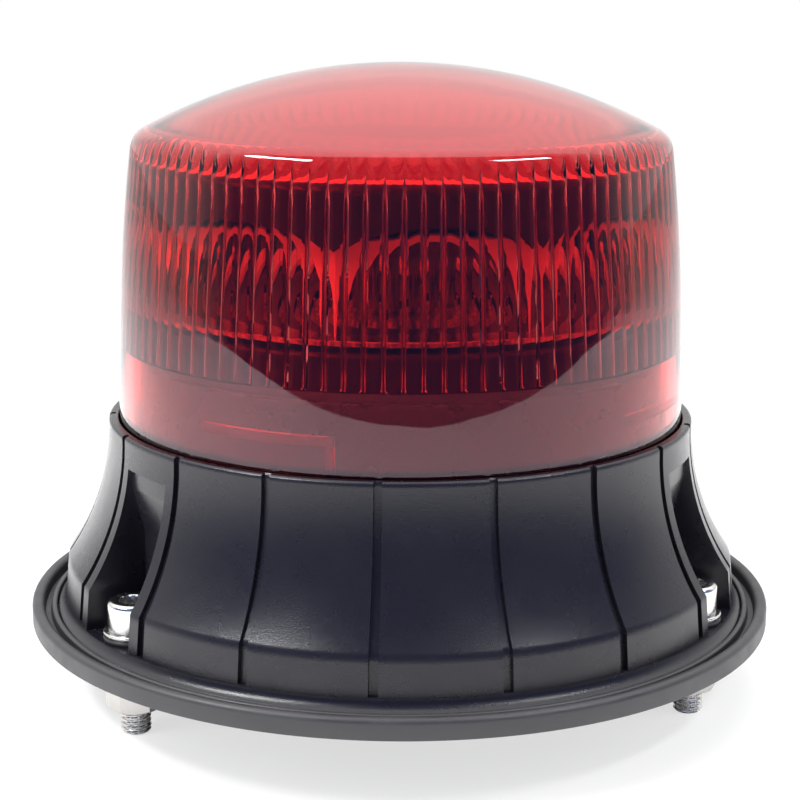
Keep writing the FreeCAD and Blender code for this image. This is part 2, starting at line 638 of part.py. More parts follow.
def make_gasket():
    body = new_body("mounting_gasket")
    bore = BAY_RADIUS + S.gasket_step
    inner = FLANGE_RADIUS + S.lip_fit
    ridge = inner + S.inner_lip_width
    trough = ridge + S.trough_width
    outer = trough + S.outer_lip_width
    ridge_top, lip_top = S.gasket_web + S.inner_lip_rise, S.gasket_web + S.outer_lip_rise
    ring = turned(body, [(bore, 0.0), (outer, 0.0), (outer, lip_top), (trough, lip_top),
                         (trough, S.gasket_web), (ridge, S.gasket_web), (ridge, ridge_top),
                         (inner, ridge_top), (inner, S.gasket_web), (bore, S.gasket_web)])
    soften(body, ring, S.outer_lip_round, [(outer, lip_top), (trough, lip_top)])
    hole = post(body, S.bolt_shank_radius + S.gasket_hole_play, -OVERCUT, S.gasket_web + OVERCUT,
                BOLT_CIRCLE, BOLT_AT, cut=True)
    repeat(body, hole, S.bolt_count)


def make_housing():
    body = new_body("base_housing")
    outside = [(BAY_RADIUS, S.gasket_web), (FLANGE_RADIUS, S.gasket_web), (FLANGE_RADIUS, FLANGE_TOP),
               (BAND_FOOT, FOOT_TOP, -FOOT_BEND), (KINK_RADIUS, KINK_HEIGHT),
               (S.collar_radius, FLARE_TOP, -S.flare_bend),
               (S.collar_radius - S.collar_edge, COLLAR_TOP), (CHANNEL_RADIUS, COLLAR_TOP)]
    inside = [(CHANNEL_RADIUS, CHANNEL_FLOOR), (SPIGOT_RADIUS, CHANNEL_FLOOR),
              (SPIGOT_RADIUS, SPIGOT_TOP), (SPIGOT_BORE, SPIGOT_TOP), (SPIGOT_BORE, SHELF_TOP),
              (SHELF_BORE, SHELF_TOP), (SHELF_BORE, SHELF_UNDER), (SPIGOT_BORE, SHELF_UNDER),
              (SPIGOT_BORE, CHANNEL_UNDER), (BAY_RADIUS, CHANNEL_UNDER)]
    turned(body, outside + inside)
    cut_reliefs(body)
    cut_pockets(body)
    cut_grooves(body)
    # bosses for the screws of the bottom cover
    boss = post(body, S.cover_boss_radius, COVER_TOP, COVER_TOP + S.cover_boss_height,
                COVER_SCREW_CIRCLE, S.cover_screw_angle)
    hole = post(body, S.screw_radius, COVER_TOP - OVERCUT, COVER_TOP + S.screw_hold + S.screw_spare,
                COVER_SCREW_CIRCLE, S.cover_screw_angle, cut=True)
    repeat(body, [boss, hole], S.cover_screw_count)
    # screw holes through the shelf for the drum and the gear plate
    for circle, at in ((DRUM_BOSS_CIRCLE, S.drum_screw_angle), (PLATE_SCREW_CIRCLE, S.plate_screw_angle)):
        hole = post(body, S.screw_radius + S.screw_play, SHELF_UNDER - OVERCUT, SHELF_TOP + OVERCUT,
                    circle, at, cut=True)
        repeat(body, hole, SCREWS)
    # ledges of the bayonet, just above the lens lugs
    low = LUG_BOTTOM + S.lug_height + S.bayonet_gap
    high = low + S.ledge_height
    centre = S.lock_angle - S.stop_angle - S.ledge_angle / 2
    inner, outer = SPIGOT_RADIUS - S.catch_root, SPIGOT_RADIUS + S.catch_reach
    ledge = turned(body, [(inner, low), (outer, low), (outer, high), (inner, high)],
                   angle=S.ledge_angle, at=centre)
    repeat(body, ledge, S.bayonet_count)


def cut_reliefs(body):
    """Three hollows between the bolt pockets leave a thin moulded wall, measured inwards here."""
    wall = S.shell_wall
    top = CHANNEL_FLOOR - 2 * S.channel_web
    back = -(BAY_RADIUS + S.bay_wall)
    relief = turned(body, [(back, 0.0), (-(KINK_RADIUS - wall), 0.0),
                           (-(KINK_RADIUS - wall), KINK_HEIGHT - wall / 2),
                           (-(flare_radius(top) - wall), top, S.flare_bend + wall), (back, top)],
                    angle=RELIEF_ANGLE, at=BOLT_AT, cut=True)
    repeat(body, relief, S.bolt_count)


def cut_pockets(body):
    """Pockets for the bolt heads; the back wall leans out to pass below the lens channel."""
    lean_foot = POCKET_TOP - S.pocket_lean - S.pocket_sill
    back_top = CHANNEL_RADIUS + S.pocket_skin
    front = FLANGE_RADIUS + OVERCUT
    pocket = turned(body, [(POCKET_BACK, POCKET_FLOOR), (front, POCKET_FLOOR), (front, POCKET_TOP),
                           (back_top, POCKET_TOP), (back_top, CHANNEL_FLOOR - S.pocket_sill),
                           (POCKET_BACK, lean_foot)],
                    angle=S.pocket_angle, at=BOLT_AT, cut=True)
    seat = post(body, S.sleeve_radius, 0.0, POCKET_FLOOR + OVERCUT, BOLT_CIRCLE, BOLT_AT, cut=True)
    repeat(body, [pocket, seat], S.bolt_count)


def cut_grooves(body):
    """Narrow grooves that follow the flare and divide it into ribs."""
    depth = S.groove_depth
    low, high = FLANGE_TOP + S.groove_foot, COLLAR_TOP + OVERCUT
    groove = turned(body, [(BAND_FOOT - depth, low), (FLANGE_RADIUS, low), (FLANGE_RADIUS, high),
                           (S.collar_radius - depth, high), (S.collar_radius - depth, FLARE_TOP),
                           (KINK_RADIUS - depth, KINK_HEIGHT, S.flare_bend + depth)],
                    angle=S.groove_angle, cut=True)
    repeat(body, groove, S.groove_count)


def make_lens():
    body = new_body("lens_shell")
    dome_in = S.dome_bend - S.dome_wall
    flute_top = SHOULDER_HEIGHT - S.dome_wall
    tip_low = lens_outside(FLUTE_BOTTOM) - S.lens_wall - S.flute_depth
    tip_high = lens_outside(flute_top) - S.lens_wall - S.flute_depth
    dome_foot = DOME_MIDDLE + root(dome_in * dome_in - tip_high * tip_high)
    shell = turned(body, [(SKIRT_BORE, LENS_BOTTOM), (LENS_RADIUS, LENS_BOTTOM), (LENS_RADIUS, DRAFT_START),
                          (SHOULDER_RADIUS, SHOULDER_HEIGHT, LENS_BEND),
                          (0.0, APEX, S.dome_bend), (0.0, APEX - S.dome_wall),
                          (tip_high, dome_foot, -dome_in), (tip_low, FLUTE_BOTTOM),
                          (SKIRT_BORE, FLUTE_BOTTOM)])
    soften(body, shell, S.shoulder_round, [(SHOULDER_RADIUS, SHOULDER_HEIGHT)])
    # bayonet: lugs near the rim, each with a stop rib and a guide rib above it
    inner, outer = SPIGOT_RADIUS + S.bayonet_gap, SKIRT_BORE + S.catch_root
    bands = ((S.lug_angle, LUG_BOTTOM, LUG_BOTTOM + S.lug_height),
             (S.guide_angle, GUIDE_TOP - S.guide_height, GUIDE_TOP),
             (S.stop_angle, LUG_BOTTOM, GUIDE_TOP))
    ribs = []
    for width, low, high in bands:
        ribs.append(turned(body, [(inner, low), (outer, low), (outer, high), (inner, high)],
                           angle=width, at=S.lock_angle - width / 2))
    repeat(body, ribs, S.bayonet_count)
    flutes = doc.addObject("Part::Feature", "flutes")
    star_low = star(tip_low, tip_low + S.flute_depth, FLUTE_BOTTOM)
    star_high = star(tip_high, tip_high + S.flute_depth, flute_top)
    flutes.Shape = Part.makeLoft([star_low, star_high], True, True)
    lens = doc.addObject("Part::Cut", "lens")
    lens.Label = "lens"
    lens.Base = body
    lens.Tool = flutes


def star(inner, outer, height):
    """Star-shaped wire with one point for each flute."""
    count = int(S.flute_count.value)
    corners = []
    for k in range(2 * count):
        radius = inner.value if k % 2 else outer.value
        turn = math.pi * k / count
        corners.append(FreeCAD.Vector(radius * math.cos(turn), radius * math.sin(turn), height.value))
    return Part.makePolygon(corners + corners[:1])


def make_lens_seal():
    body = new_body("lens_seal")
    room = CHANNEL_RADIUS - SPIGOT_RADIUS - S.seal_width
    outer = CHANNEL_RADIUS - SEAL_OUTER_SHARE * room
    low = CHANNEL_FLOOR + S.seal_gap
    post(body, outer, low, low + S.seal_height, bore=outer - S.seal_width)


def make_drum():
    body = new_body("chassis_drum")
    shell = turned(body, [(DECK_BORE, DECK_UNDER), (DRUM_BORE, DECK_UNDER), (DRUM_BORE, SHELF_TOP),
                          (DRUM_RADIUS, SHELF_TOP), (DRUM_RADIUS, DRUM_TOP), (DECK_BORE, DRUM_TOP)])
    soften(body, shell, S.drum_round, [(DRUM_RADIUS, DRUM_TOP)])
    boss = post(body, S.drum_boss_radius, SHELF_TOP, DECK_UNDER, DRUM_BOSS_CIRCLE, S.drum_screw_angle)
    hole = post(body, S.screw_radius, SHELF_TOP - OVERCUT, SHELF_TOP + S.screw_hold + S.screw_spare,
                DRUM_BOSS_CIRCLE, S.drum_screw_angle, cut=True)
    repeat(body, [boss, hole], SCREWS)
    hole = post(body, S.screw_radius, DECK_UNDER - OVERCUT, DECK_UNDER + S.deck_hold + S.screw_play,
                SINK_SCREW_CIRCLE, 0.0, cut=True)
    repeat(body, hole, SCREWS)


def make_heat_sink():
    body = new_body("heat_sink")
    tube, bore = S.sink_tube_radius, S.bush_radius
    tube_foot = TUBE_TOP - S.tube_length
    turned(body, [(bore, tube_foot), (tube, tube_foot), (tube, SINK_UNDER), (SINK_RADIUS, SINK_UNDER),
                  (SINK_RADIUS, DECK_UNDER), (tube, DECK_UNDER), (tube, TUBE_TOP), (bore, TUBE_TOP)])
    hole = post(body, S.screw_radius + S.screw_play, SINK_UNDER - OVERCUT, DECK_UNDER + OVERCUT,
                SINK_SCREW_CIRCLE, 0.0, cut=True)
    repeat(body, hole, SCREWS)
    hole = post(body, S.board_screw_radius, DECK_UNDER - S.board_screw_hold - S.screw_play,
                DECK_UNDER + OVERCUT, LAMP_SCREW_CIRCLE, S.drum_screw_angle, cut=True)
    repeat(body, hole, SCREWS)


def make_lamp_board():
    body = new_body("lamp_board")
    post(body, S.lamp_board_radius, DECK_UNDER, LAMP_BOARD_TOP, bore=S.sink_tube_radius + S.lamp_board_play)
    hole = post(body, S.board_screw_radius + S.screw_play, DECK_UNDER - OVERCUT, LAMP_BOARD_TOP + OVERCUT,
                LAMP_SCREW_CIRCLE, S.drum_screw_angle, cut=True)
    repeat(body, hole, SCREWS)
    lamps = new_body("lamp_diodes")
    face = draw_block(level(lamps, LAMP_BOARD_TOP), LAMP_CIRCLE - S.lamp_size / 2, S.lamp_size, S.lamp_size)
    repeat(lamps, pad(lamps, face, S.lamp_height), S.lamp_count)


def draw_block(sketch, inner, depth, width):
    """Rectangle from a distance along x outwards, centred on y."""
    half = width / 2
    return draw(sketch, [(inner, -half), (inner + depth, -half), (inner + depth, half), (inner, half)])


def make_screws(label, circle, at, seat, hold, count=SCREWS, downwards=False, radius=None, head=None):
    """A ring of pan-head screws. Their heads sit against the height `seat`."""
    body = new_body(label)
    radius = radius or S.screw_radius
    head = head or S.screw_head_radius
    height = S.screw_head_height
    way = -1 if downwards else 1
    seat, circle = as_size(seat), as_size(circle)
    tip, crown = seat + way * as_size(hold), seat - way * height
    corners = [(circle, tip), (circle + radius, tip), (circle + radius, seat),
               (circle + head, seat), (circle + head, crown), (circle, crown)]
    screw = turned(body, corners, at=at, about=None if circle.value == 0 else circle)
    deep, wide = SLOT_DEPTH * height, SLOT_LENGTH * head
    slot = level(body, crown + (-deep if downwards else 0.0), at)
    cut = pad(body, draw_block(slot, circle - wide / 2, wide, S.screw_slot_width), deep, cut=True)
    if as_size(count).value > 1:
        repeat(body, [screw, cut], count)


def make_bushes():
    bore = S.shaft_radius + S.running_gap
    # the lower bush has a flange under the gear plate and a barrel up through it
    lower = new_body("lower_bush")
    flange_low, top = SHELF_TOP - S.bush_flange, PLATE_TOP + S.bush_stand
    turned(lower, [(bore, flange_low), (S.bush_flange_radius, flange_low), (S.bush_flange_radius, SHELF_TOP),
                   (S.bush_radius, SHELF_TOP), (S.bush_radius, top), (bore, top)])
    upper = new_body("upper_bush")
    post(upper, S.bush_radius, TUBE_TOP - S.bush_length, TUBE_TOP, bore=bore)


def make_gear_plate():
    body = new_body("gear_plate")
    low, high = SHELF_TOP - OVERCUT, PLATE_TOP + OVERCUT
    post(body, PLATE_RADIUS, SHELF_TOP, PLATE_TOP, bore=S.bush_radius)
    hole = post(body, S.screw_radius + S.screw_play, low, high, PLATE_SCREW_CIRCLE,
                S.plate_screw_angle, cut=True)
    repeat(body, hole, SCREWS)
    post(body, S.motor_boss_radius + S.screw_play, low, high, CENTRE_DISTANCE, S.motor_angle, cut=True)
    for side in (-1, 1):
        sketch = level(body, low, S.motor_angle)
        draw_circle(sketch, CENTRE_DISTANCE, side * S.motor_screw_spread, S.screw_radius + S.screw_play)
        pad(body, sketch, S.plate_thickness + 2 * OVERCUT, cut=True)


def make_motor():
    body = new_body("motor_can")
    bore = S.spindle_radius + S.running_gap
    boss_low = PLATE_TOP - S.motor_boss_height
    end = MOTOR_TOP - S.motor_end
    axis, side = CENTRE_DISTANCE, CENTRE_DISTANCE + S.motor_radius
    boss = axis + S.motor_boss_radius
    turned(body, [(axis + bore, boss_low), (boss, boss_low), (boss, PLATE_TOP), (side, PLATE_TOP),
                  (side, MOTOR_TOP - S.motor_bevel), (side - S.motor_bevel, MOTOR_TOP),
                  (axis, MOTOR_TOP), (axis, end), (axis + bore, end)], at=S.motor_angle, about=axis)
    for way in (-1, 1):
        sketch = level(body, PLATE_TOP, S.motor_angle)
        draw_circle(sketch, axis, way * S.motor_screw_spread, S.screw_radius)
        pad(body, sketch, S.screw_hold - S.plate_thickness + S.screw_spare / 2, cut=True)
    spindle = new_body("motor_spindle")
    foot = WHEEL_BOTTOM - S.pinion_overhang - S.spindle_tail
    post(spindle, S.spindle_radius, foot, end - S.spindle_end_gap, axis, S.motor_angle)


def make_motor_screws():
    body = new_body("motor_screws")
    head_low = SHELF_TOP - S.screw_head_height
    for side in (-1, 1):
        for radius, low, high in ((S.screw_head_radius, head_low, SHELF_TOP),
                                  (S.screw_radius, head_low, SHELF_TOP + S.screw_hold)):
            sketch = level(body, low, S.motor_angle)
            draw_circle(sketch, CENTRE_DISTANCE, side * S.motor_screw_spread, radius)
            pad(body, sketch, high - low)


def involute(base, radius):
    """Polar angle, in radians, of the involute of a base circle where it reaches a radius."""
    if radius <= base:
        return 0.0
    slope = math.sqrt((radius / base) ** 2 - 1)
    return slope - math.atan(slope)


def gear_face(teeth, module):
    """Face of a spur gear with involute teeth, a tooth pointing along +X."""
    pitch = module * teeth / 2
    base, tip = pitch * math.cos(math.radians(PRESSURE_ANGLE)), pitch + ADDENDUM * module
    foot = pitch - DEDENDUM * module
    half = math.pi / (2 * teeth) + involute(base, pitch)
    start = max(base, foot + ROOT_RISE * module)
    radii = [start + (tip - start) * share for share in FLANK_POINTS]
    flank = [(radius, half - involute(base, radius)) for radius in radii]
    step = 2 * math.pi / teeth

    def place(radius, angle):
        return FreeCAD.Vector(radius * math.cos(angle), radius * math.sin(angle), 0)

    edges = []
    for k in range(teeth):
        turn = k * step
        rising = [place(radius, turn - angle) for radius, angle in flank]
        falling = [place(radius, turn + angle) for radius, angle in reversed(flank)]
        foot_in = place(foot, turn - half)
        foot_out = place(foot, turn + half)
        next_foot = place(foot, turn + step - half)
        for points in (rising, falling):
            curve = Part.BSplineCurve()
            curve.interpolate(points)
            if points is rising:
                edges.append(Part.makeLine(foot_in, rising[0]))
                edges.append(curve.toShape())
                edges.append(Part.Arc(rising[-1], place(tip, turn), falling[0]).toShape())
            else:
                edges.append(curve.toShape())
                edges.append(Part.makeLine(falling[-1], foot_out))
        edges.append(Part.Arc(foot_out, place(foot, turn + step / 2), next_foot).toShape())
    return Part.Face(Part.Wire(edges))


def make_gears():
    up = FreeCAD.Vector(0, 0, 1)
    low, width, module = WHEEL_BOTTOM.value, S.wheel_width.value, GEAR_MODULE.value
    hub = S.wheel_hub_radius.value
    hub_length = (SHELF_TOP - S.bush_flange - S.wheel_hub_gap - WHEEL_BOTTOM).value
    web_radius = module * S.wheel_teeth.value / 2 - S.wheel_rim.value
    wheel = gear_face(int(S.wheel_teeth.value), module).extrude(up * width)
    wheel = wheel.fuse(Part.makeCylinder(hub, hub_length))
    hollow = Part.makeCylinder(web_radius, width - S.wheel_web.value)
    wheel = wheel.cut(hollow.cut(Part.makeCylinder(hub, width)))
    wheel = wheel.cut(Part.makeCylinder(S.shaft_radius.value, hub_length))
    drive_gear = doc.addObject("Part::Feature", "drive_gear")
    drive_gear.Label = "drive_gear"
    drive_gear.Shape = wheel.removeSplitter()
    drive_gear.Placement.Base = FreeCAD.Vector(0, 0, low)
    # the pinion has a gap where the wheel has a tooth on the line of centres
    wheel_step, pinion_step = (360 / teeth.value for teeth in (S.wheel_teeth, S.pinion_teeth))
    angle, away, over = S.motor_angle.value, CENTRE_DISTANCE.value, S.pinion_overhang.value
    turn = angle + 180 + pinion_step * (0.5 + (angle / wheel_step) % 1.0)
    pinion = gear_face(int(S.pinion_teeth.value), module).extrude(up * (width + 2 * over))
    motor_pinion = doc.addObject("Part::Feature", "motor_pinion")
    motor_pinion.Label = "motor_pinion"
    motor_pinion.Shape = pinion.cut(Part.makeCylinder(S.spindle_radius.value, width + 2 * over))
    line = math.radians(angle)
    place = FreeCAD.Vector(away * math.cos(line), away * math.sin(line), low - over)
    motor_pinion.Placement = FreeCAD.Placement(place, FreeCAD.Rotation(up, turn))


def make_shaft():
    body = new_body("rotor_shaft")
    radius, drill = S.shaft_radius, S.hood_screw_radius
    neck = radius - S.clip_neck
    clip_top = WHEEL_BOTTOM - CLIP_PLAY
    clip_low = clip_top - S.clip_thickness - CLIP_PLAY
    drill_end = SHAFT_TOP - S.hood_screw_hold - S.screw_spare
    foot = WHEEL_BOTTOM - S.shaft_tail
    turned(body, [(0.0, foot), (radius, foot), (radius, clip_low), (neck, clip_low), (neck, clip_top),
                  (radius, clip_top), (radius, SHAFT_TOP), (drill, SHAFT_TOP), (drill, drill_end),
                  (0.0, drill_end)])
    clip = new_body("shaft_clip")
    low = clip_low + CLIP_PLAY / 2
    post(clip, S.clip_radius, low, low + S.clip_thickness, bore=neck + CLIP_PLAY / 2)
    mouth = level(clip, low - OVERCUT, -90.0)
    draw_block(mouth, as_size(0.0), S.clip_radius + OVERCUT, CLIP_MOUTH * neck)
    pad(clip, mouth, S.clip_thickness + 2 * OVERCUT, cut=True)


def ellipsoid(name, along, across, rise):
    """Ellipsoid with its long axis pointing outwards."""
    solid = doc.addObject("Part::Ellipsoid", name)
    for prop, size in (("Radius1", rise), ("Radius2", along), ("Radius3", across)):
        bind(solid, prop, size)
    solid.Angle1 = -90
    return solid


def make_crown():
    wall = S.scoop_wall
    outer_cuts, inner_cuts = [], []
    for k in range(int(S.scoop_count.value)):
        at = S.scoop_turn + 2 * k * HALF_SCOOP
        for group, name, along, across, rise in (
                (outer_cuts, "scoop_outside", SCOOP_BACK, SCOOP_REACH, S.scoop_rise),
                (inner_cuts, "scoop_hollow", SCOOP_BACK - S.scoop_end_wall, SCOOP_REACH - wall,
                 S.scoop_rise - wall)):
            solid = ellipsoid(name, along, across, rise)
            upright = FreeCAD.Rotation(FreeCAD.Vector(0, 0, 1), 1.0)
            solid.Placement = FreeCAD.Placement(FreeCAD.Vector(), upright)
            bind(solid, "Placement.Base.x", CROWN_APOTHEM * cosine(at))
            bind(solid, "Placement.Base.y", CROWN_APOTHEM * sine(at))
            bind(solid, "Placement.Base.z", SCOOP_CENTRE)
            bind(solid, "Placement.Rotation.Angle", at)
            group.append(solid)
    corner = CROWN_APOTHEM / cosine(HALF_SCOOP)
    corners = [(corner * cosine(2 * k * HALF_SCOOP), corner * sine(2 * k * HALF_SCOOP))
               for k in range(int(S.scoop_count.value))]

    def slab(body, share, height, cut=False):
        """Upright block with one side for each mouth, drawn in by a share of its size."""
        plan = level(body, CROWN_BOTTOM, S.scoop_turn + HALF_SCOOP)
        draw(plan, [(x * share, y * share) for x, y in corners])
        return pad(body, plan, height, cut=cut)

    block = new_body("crown_block")
    slab(block, 1.0, HUB_TOP - CROWN_BOTTOM)
    shells = doc.addObject("Part::MultiFuse", "scoop_shells")
    shells.Shapes = outer_cuts
    trimmed = doc.addObject("Part::Common", "scoops_trimmed")
    trimmed.Base, trimmed.Tool = shells, block
    # an upright band joins the mouths, so that each opens under an arch
    arcade = new_body("arcade_band")
    arcade_height = SCOOP_TOP - S.arcade_drop - CROWN_BOTTOM
    slab(arcade, 1.0, arcade_height)
    slab(arcade, (CROWN_APOTHEM - S.arcade_wall) / CROWN_APOTHEM, arcade_height, cut=True)
    banded = doc.addObject("Part::Fuse", "scoops_banded")
    banded.Base, banded.Tool = trimmed, arcade
    hollows = doc.addObject("Part::MultiFuse", "scoop_hollows")
    hollows.Shapes = inner_cuts
    opened = doc.addObject("Part::Cut", "scoops_opened")
    opened.Base, opened.Tool = banded, hollows
    # a flat rim joins the mouths below, a hub joins the backs
    rim = new_body("crown_rim")
    post(rim, RIM_RADIUS, CROWN_BOTTOM, CROWN_BOTTOM + S.rim_thickness)
    slab(rim, (CROWN_APOTHEM - S.arcade_wall) / CROWN_APOTHEM, S.rim_thickness, cut=True)
    post(rim, S.hub_radius, CROWN_BOTTOM, HUB_TOP)
    whole = doc.addObject("Part::MultiFuse", "crown_whole")
    whole.Shapes = [opened, rim]
    bore = new_body("crown_bore")
    post(bore, S.shaft_radius, CROWN_BOTTOM - OVERCUT, HUB_TOP + OVERCUT)
    crown = doc.addObject("Part::Cut", "scoop_crown")
    crown.Label = "scoop_crown"
    crown.Base, crown.Tool = whole, bore


def make_hood():
    body = new_body("rotor_hood")
    bore = S.hood_screw_radius + S.washer_play
    shell = turned(body, [(bore, HUB_TOP), (S.hood_boss_radius, HUB_TOP), (S.hood_boss_radius, HOOD_UNDER),
                          (HOOD_BORE, HOOD_UNDER), (HOOD_BORE, HOOD_TIP), (HOOD_RADIUS, HOOD_TIP),
                          (HOOD_RADIUS, HOOD_TOP), (bore, HOOD_TOP)])
    soften(body, shell, S.hood_round, [(HOOD_RADIUS, HOOD_TOP)])
    # each scallop is the top of a large circle centred below the scoop it crowns
    half_chord = HOOD_RADIUS * sine(HALF_SCOOP)
    bend = (half_chord * half_chord + S.hood_scallop * S.hood_scallop) / (2 * S.hood_scallop)
    sketch = meridian(body, S.scoop_turn + 90)
    draw_circle(sketch, 0.0, HOOD_TIP + S.hood_scallop - bend, bend)
    cut = body.newObject("PartDesign::Pocket", "scallops")
    cut.Profile = sketch
    cut.Midplane = True
    bind(cut, "Length", 4 * HOOD_RADIUS)
    body.Tip = cut
    repeat(body, cut, S.scoop_count)


def make_bottom_cover():
    body = new_body("bottom_cover")
    low, high = COVER_BOTTOM - OVERCUT, COVER_TOP + OVERCUT
    post(body, COVER_RADIUS, COVER_BOTTOM, COVER_TOP)
    hole = post(body, S.screw_radius + S.screw_play, low, high, COVER_SCREW_CIRCLE,
                S.cover_screw_angle, cut=True)
    repeat(body, hole, S.cover_screw_count)
    stud = post(body, S.stud_radius, COVER_BOTTOM + S.cover_thickness / 3, BOARD_BOTTOM, STUD_CIRCLE)
    drill = post(body, S.screw_radius, BOARD_BOTTOM - S.board_hold - S.screw_spare, BOARD_BOTTOM + OVERCUT,
                 STUD_CIRCLE, cut=True)
    repeat(body, [stud, drill], SCREWS)
    post(body, S.inlet_neck_radius, low, high, S.inlet_offset, S.inlet_angle, cut=True)
    post(body, S.vent_stem_radius, low, high, S.inlet_offset, S.vent_angle, cut=True)


def make_inlet():
    body = new_body("cable_grommet")
    low, high = COVER_BOTTOM - S.inlet_flange, COVER_TOP + S.inlet_flange
    axis = S.inlet_offset
    bore, neck, rim = axis + S.inlet_bore_radius, axis + S.inlet_neck_radius, axis + S.inlet_flange_radius
    turned(body, [(bore, low), (rim, low), (rim, COVER_BOTTOM), (neck, COVER_BOTTOM), (neck, COVER_TOP),
                  (rim, COVER_TOP), (rim, high), (bore, high)], at=S.inlet_angle, about=axis)
    vent = new_body("breather_vent")
    stem, head, foot = axis + S.vent_stem_radius, axis + S.vent_radius, COVER_BOTTOM - S.vent_head
    turned(vent, [(axis, foot), (head, foot), (head, COVER_BOTTOM), (stem, COVER_BOTTOM), (stem, COVER_TOP),
                  (axis, COVER_TOP)], at=S.vent_angle, about=axis)


def make_driver_board():
    body = new_body("driver_board")
    post(body, BOARD_RADIUS, BOARD_BOTTOM, BOARD_TOP)
    hole = post(body, S.screw_radius + S.screw_play, BOARD_BOTTOM - OVERCUT, BOARD_TOP + OVERCUT,
                STUD_CIRCLE, cut=True)
    repeat(body, hole, SCREWS)
    block = new_body("terminal_block")
    inner = BOARD_RADIUS - S.terminal_inset - S.terminal_depth
    outline = draw_block(level(block, BOARD_TOP, S.inlet_angle), inner, S.terminal_depth, S.terminal_width)
    pad(block, outline, S.terminal_height)
    for side in (-1, 0, 1):
        mouth = level(block, BOARD_TOP + S.terminal_height - S.wire_hole_depth, S.inlet_angle)
        draw_circle(mouth, inner + S.terminal_depth / 2, side * S.wire_pitch, S.wire_hole_radius)
        pad(block, mouth, S.wire_hole_depth + OVERCUT, cut=True)
    capacitors = new_body("capacitors")
    for step in (0, 1):
        post(capacitors, S.capacitor_radius, BOARD_TOP, BOARD_TOP + S.capacitor_height,
             BOARD_RADIUS - S.capacitor_inset - step * S.capacitor_pitch,
             S.capacitor_angle - step * S.capacitor_turn)
    inductor = new_body("power_inductor")
    post(inductor, S.inductor_radius, BOARD_TOP, BOARD_TOP + S.inductor_height,
         BOARD_RADIUS - S.inductor_inset, S.inductor_angle)
    chip = new_body("controller_chip")
    inner = BOARD_RADIUS - S.chip_inset - S.chip_side
    outline = draw_block(level(chip, BOARD_TOP, S.chip_angle), inner, S.chip_side, S.chip_side)
    pad(chip, outline, S.chip_height)


def make_bolts():
    body = new_body("mounting_bolts")
    axis = BOLT_CIRCLE
    shank, thread, head = axis + S.bolt_shank_radius, axis + S.bolt_radius, axis + S.bolt_head_radius
    thread_top = NUT_BOTTOM - S.thread_gap
    edge, point, tip = S.bolt_head_edge, S.bolt_point, -S.bolt_reach
    bolt = turned(body, [(axis, tip), (thread - point, tip), (thread, tip + point), (thread, thread_top),
                         (shank, thread_top), (shank, HEAD_SEAT), (head, HEAD_SEAT), (head, HEAD_TOP - edge),
                         (head - edge, HEAD_TOP), (axis, HEAD_TOP)], at=BOLT_AT, about=axis)
    key = hexagon(level(body, HEAD_TOP - S.socket_depth, BOLT_AT), axis, S.socket_across)
    repeat(body, [bolt, pad(body, key, S.socket_depth + OVERCUT, cut=True)], S.bolt_count)
    wide, tight = S.bolt_radius + S.washer_play, S.bolt_radius
    for label, low, high, radius, bore in (
            ("bolt_washers", WASHER_SEAT, HEAD_SEAT, S.washer_radius, wide),
            ("sealing_washers", POCKET_FLOOR, WASHER_SEAT, S.washer_radius, tight),
            ("bolt_sleeves", S.gasket_web, POCKET_FLOOR, S.sleeve_radius, wide)):
        ring = new_body(label)
        repeat(ring, post(ring, radius, low, high, axis, BOLT_AT, bore=bore), S.bolt_count)
    nuts = new_body("mounting_nuts")
    block = pad(nuts, hexagon(level(nuts, NUT_BOTTOM, BOLT_AT), axis, S.nut_across), S.nut_height)
    drill = post(nuts, S.bolt_shank_radius + S.nut_gap, NUT_BOTTOM - OVERCUT, -S.nut_drop + OVERCUT,
                 axis, BOLT_AT, cut=True)
    repeat(nuts, [block, drill], S.bolt_count)


def hexagon(sketch, middle, across):
    """Hexagon of a width across flats, with two flats square to the radius."""
    reach = across / 2 / cosine(30)
    corners = [(middle + reach * cosine(30 + 60 * k), reach * sine(30 + 60 * k)) for k in range(6)]
    return draw(sketch, corners)


make_gasket()
make_housing()
make_lens()
make_lens_seal()
make_drum()
make_heat_sink()
make_lamp_board()
make_bushes()
make_gear_plate()
make_motor()
make_motor_screws()
make_gears()
make_shaft()
make_crown()
make_hood()
make_bottom_cover()
make_inlet()
make_driver_board()
make_bolts()
make_screws("cover_screws", COVER_SCREW_CIRCLE, S.cover_screw_angle, COVER_BOTTOM,
            S.cover_thickness + S.screw_hold, S.cover_screw_count)
make_screws("drum_screws", DRUM_BOSS_CIRCLE, S.drum_screw_angle, SHELF_UNDER,
            S.shelf_thickness + S.screw_hold)
make_screws("plate_screws", PLATE_SCREW_CIRCLE, S.plate_screw_angle, PLATE_TOP,
            S.plate_thickness + S.shelf_thickness, downwards=True)
make_screws("sink_screws", SINK_SCREW_CIRCLE, 0.0, SINK_UNDER, S.sink_thickness + S.deck_hold)
make_screws("board_screws", STUD_CIRCLE, 0.0, BOARD_TOP, S.board_thickness + S.board_hold, downwards=True)
make_screws("lamp_board_screws", LAMP_SCREW_CIRCLE, S.drum_screw_angle, LAMP_BOARD_TOP,
            S.lamp_board_thickness + S.board_screw_hold, downwards=True,
            radius=S.board_screw_radius, head=S.board_screw_head)
make_screws("hood_screw", 0.0, 0.0, HOOD_TOP, HOOD_TOP - SHAFT_TOP + S.hood_screw_hold, 1, downwards=True,
            radius=S.hood_screw_radius, head=S.hood_screw_head)

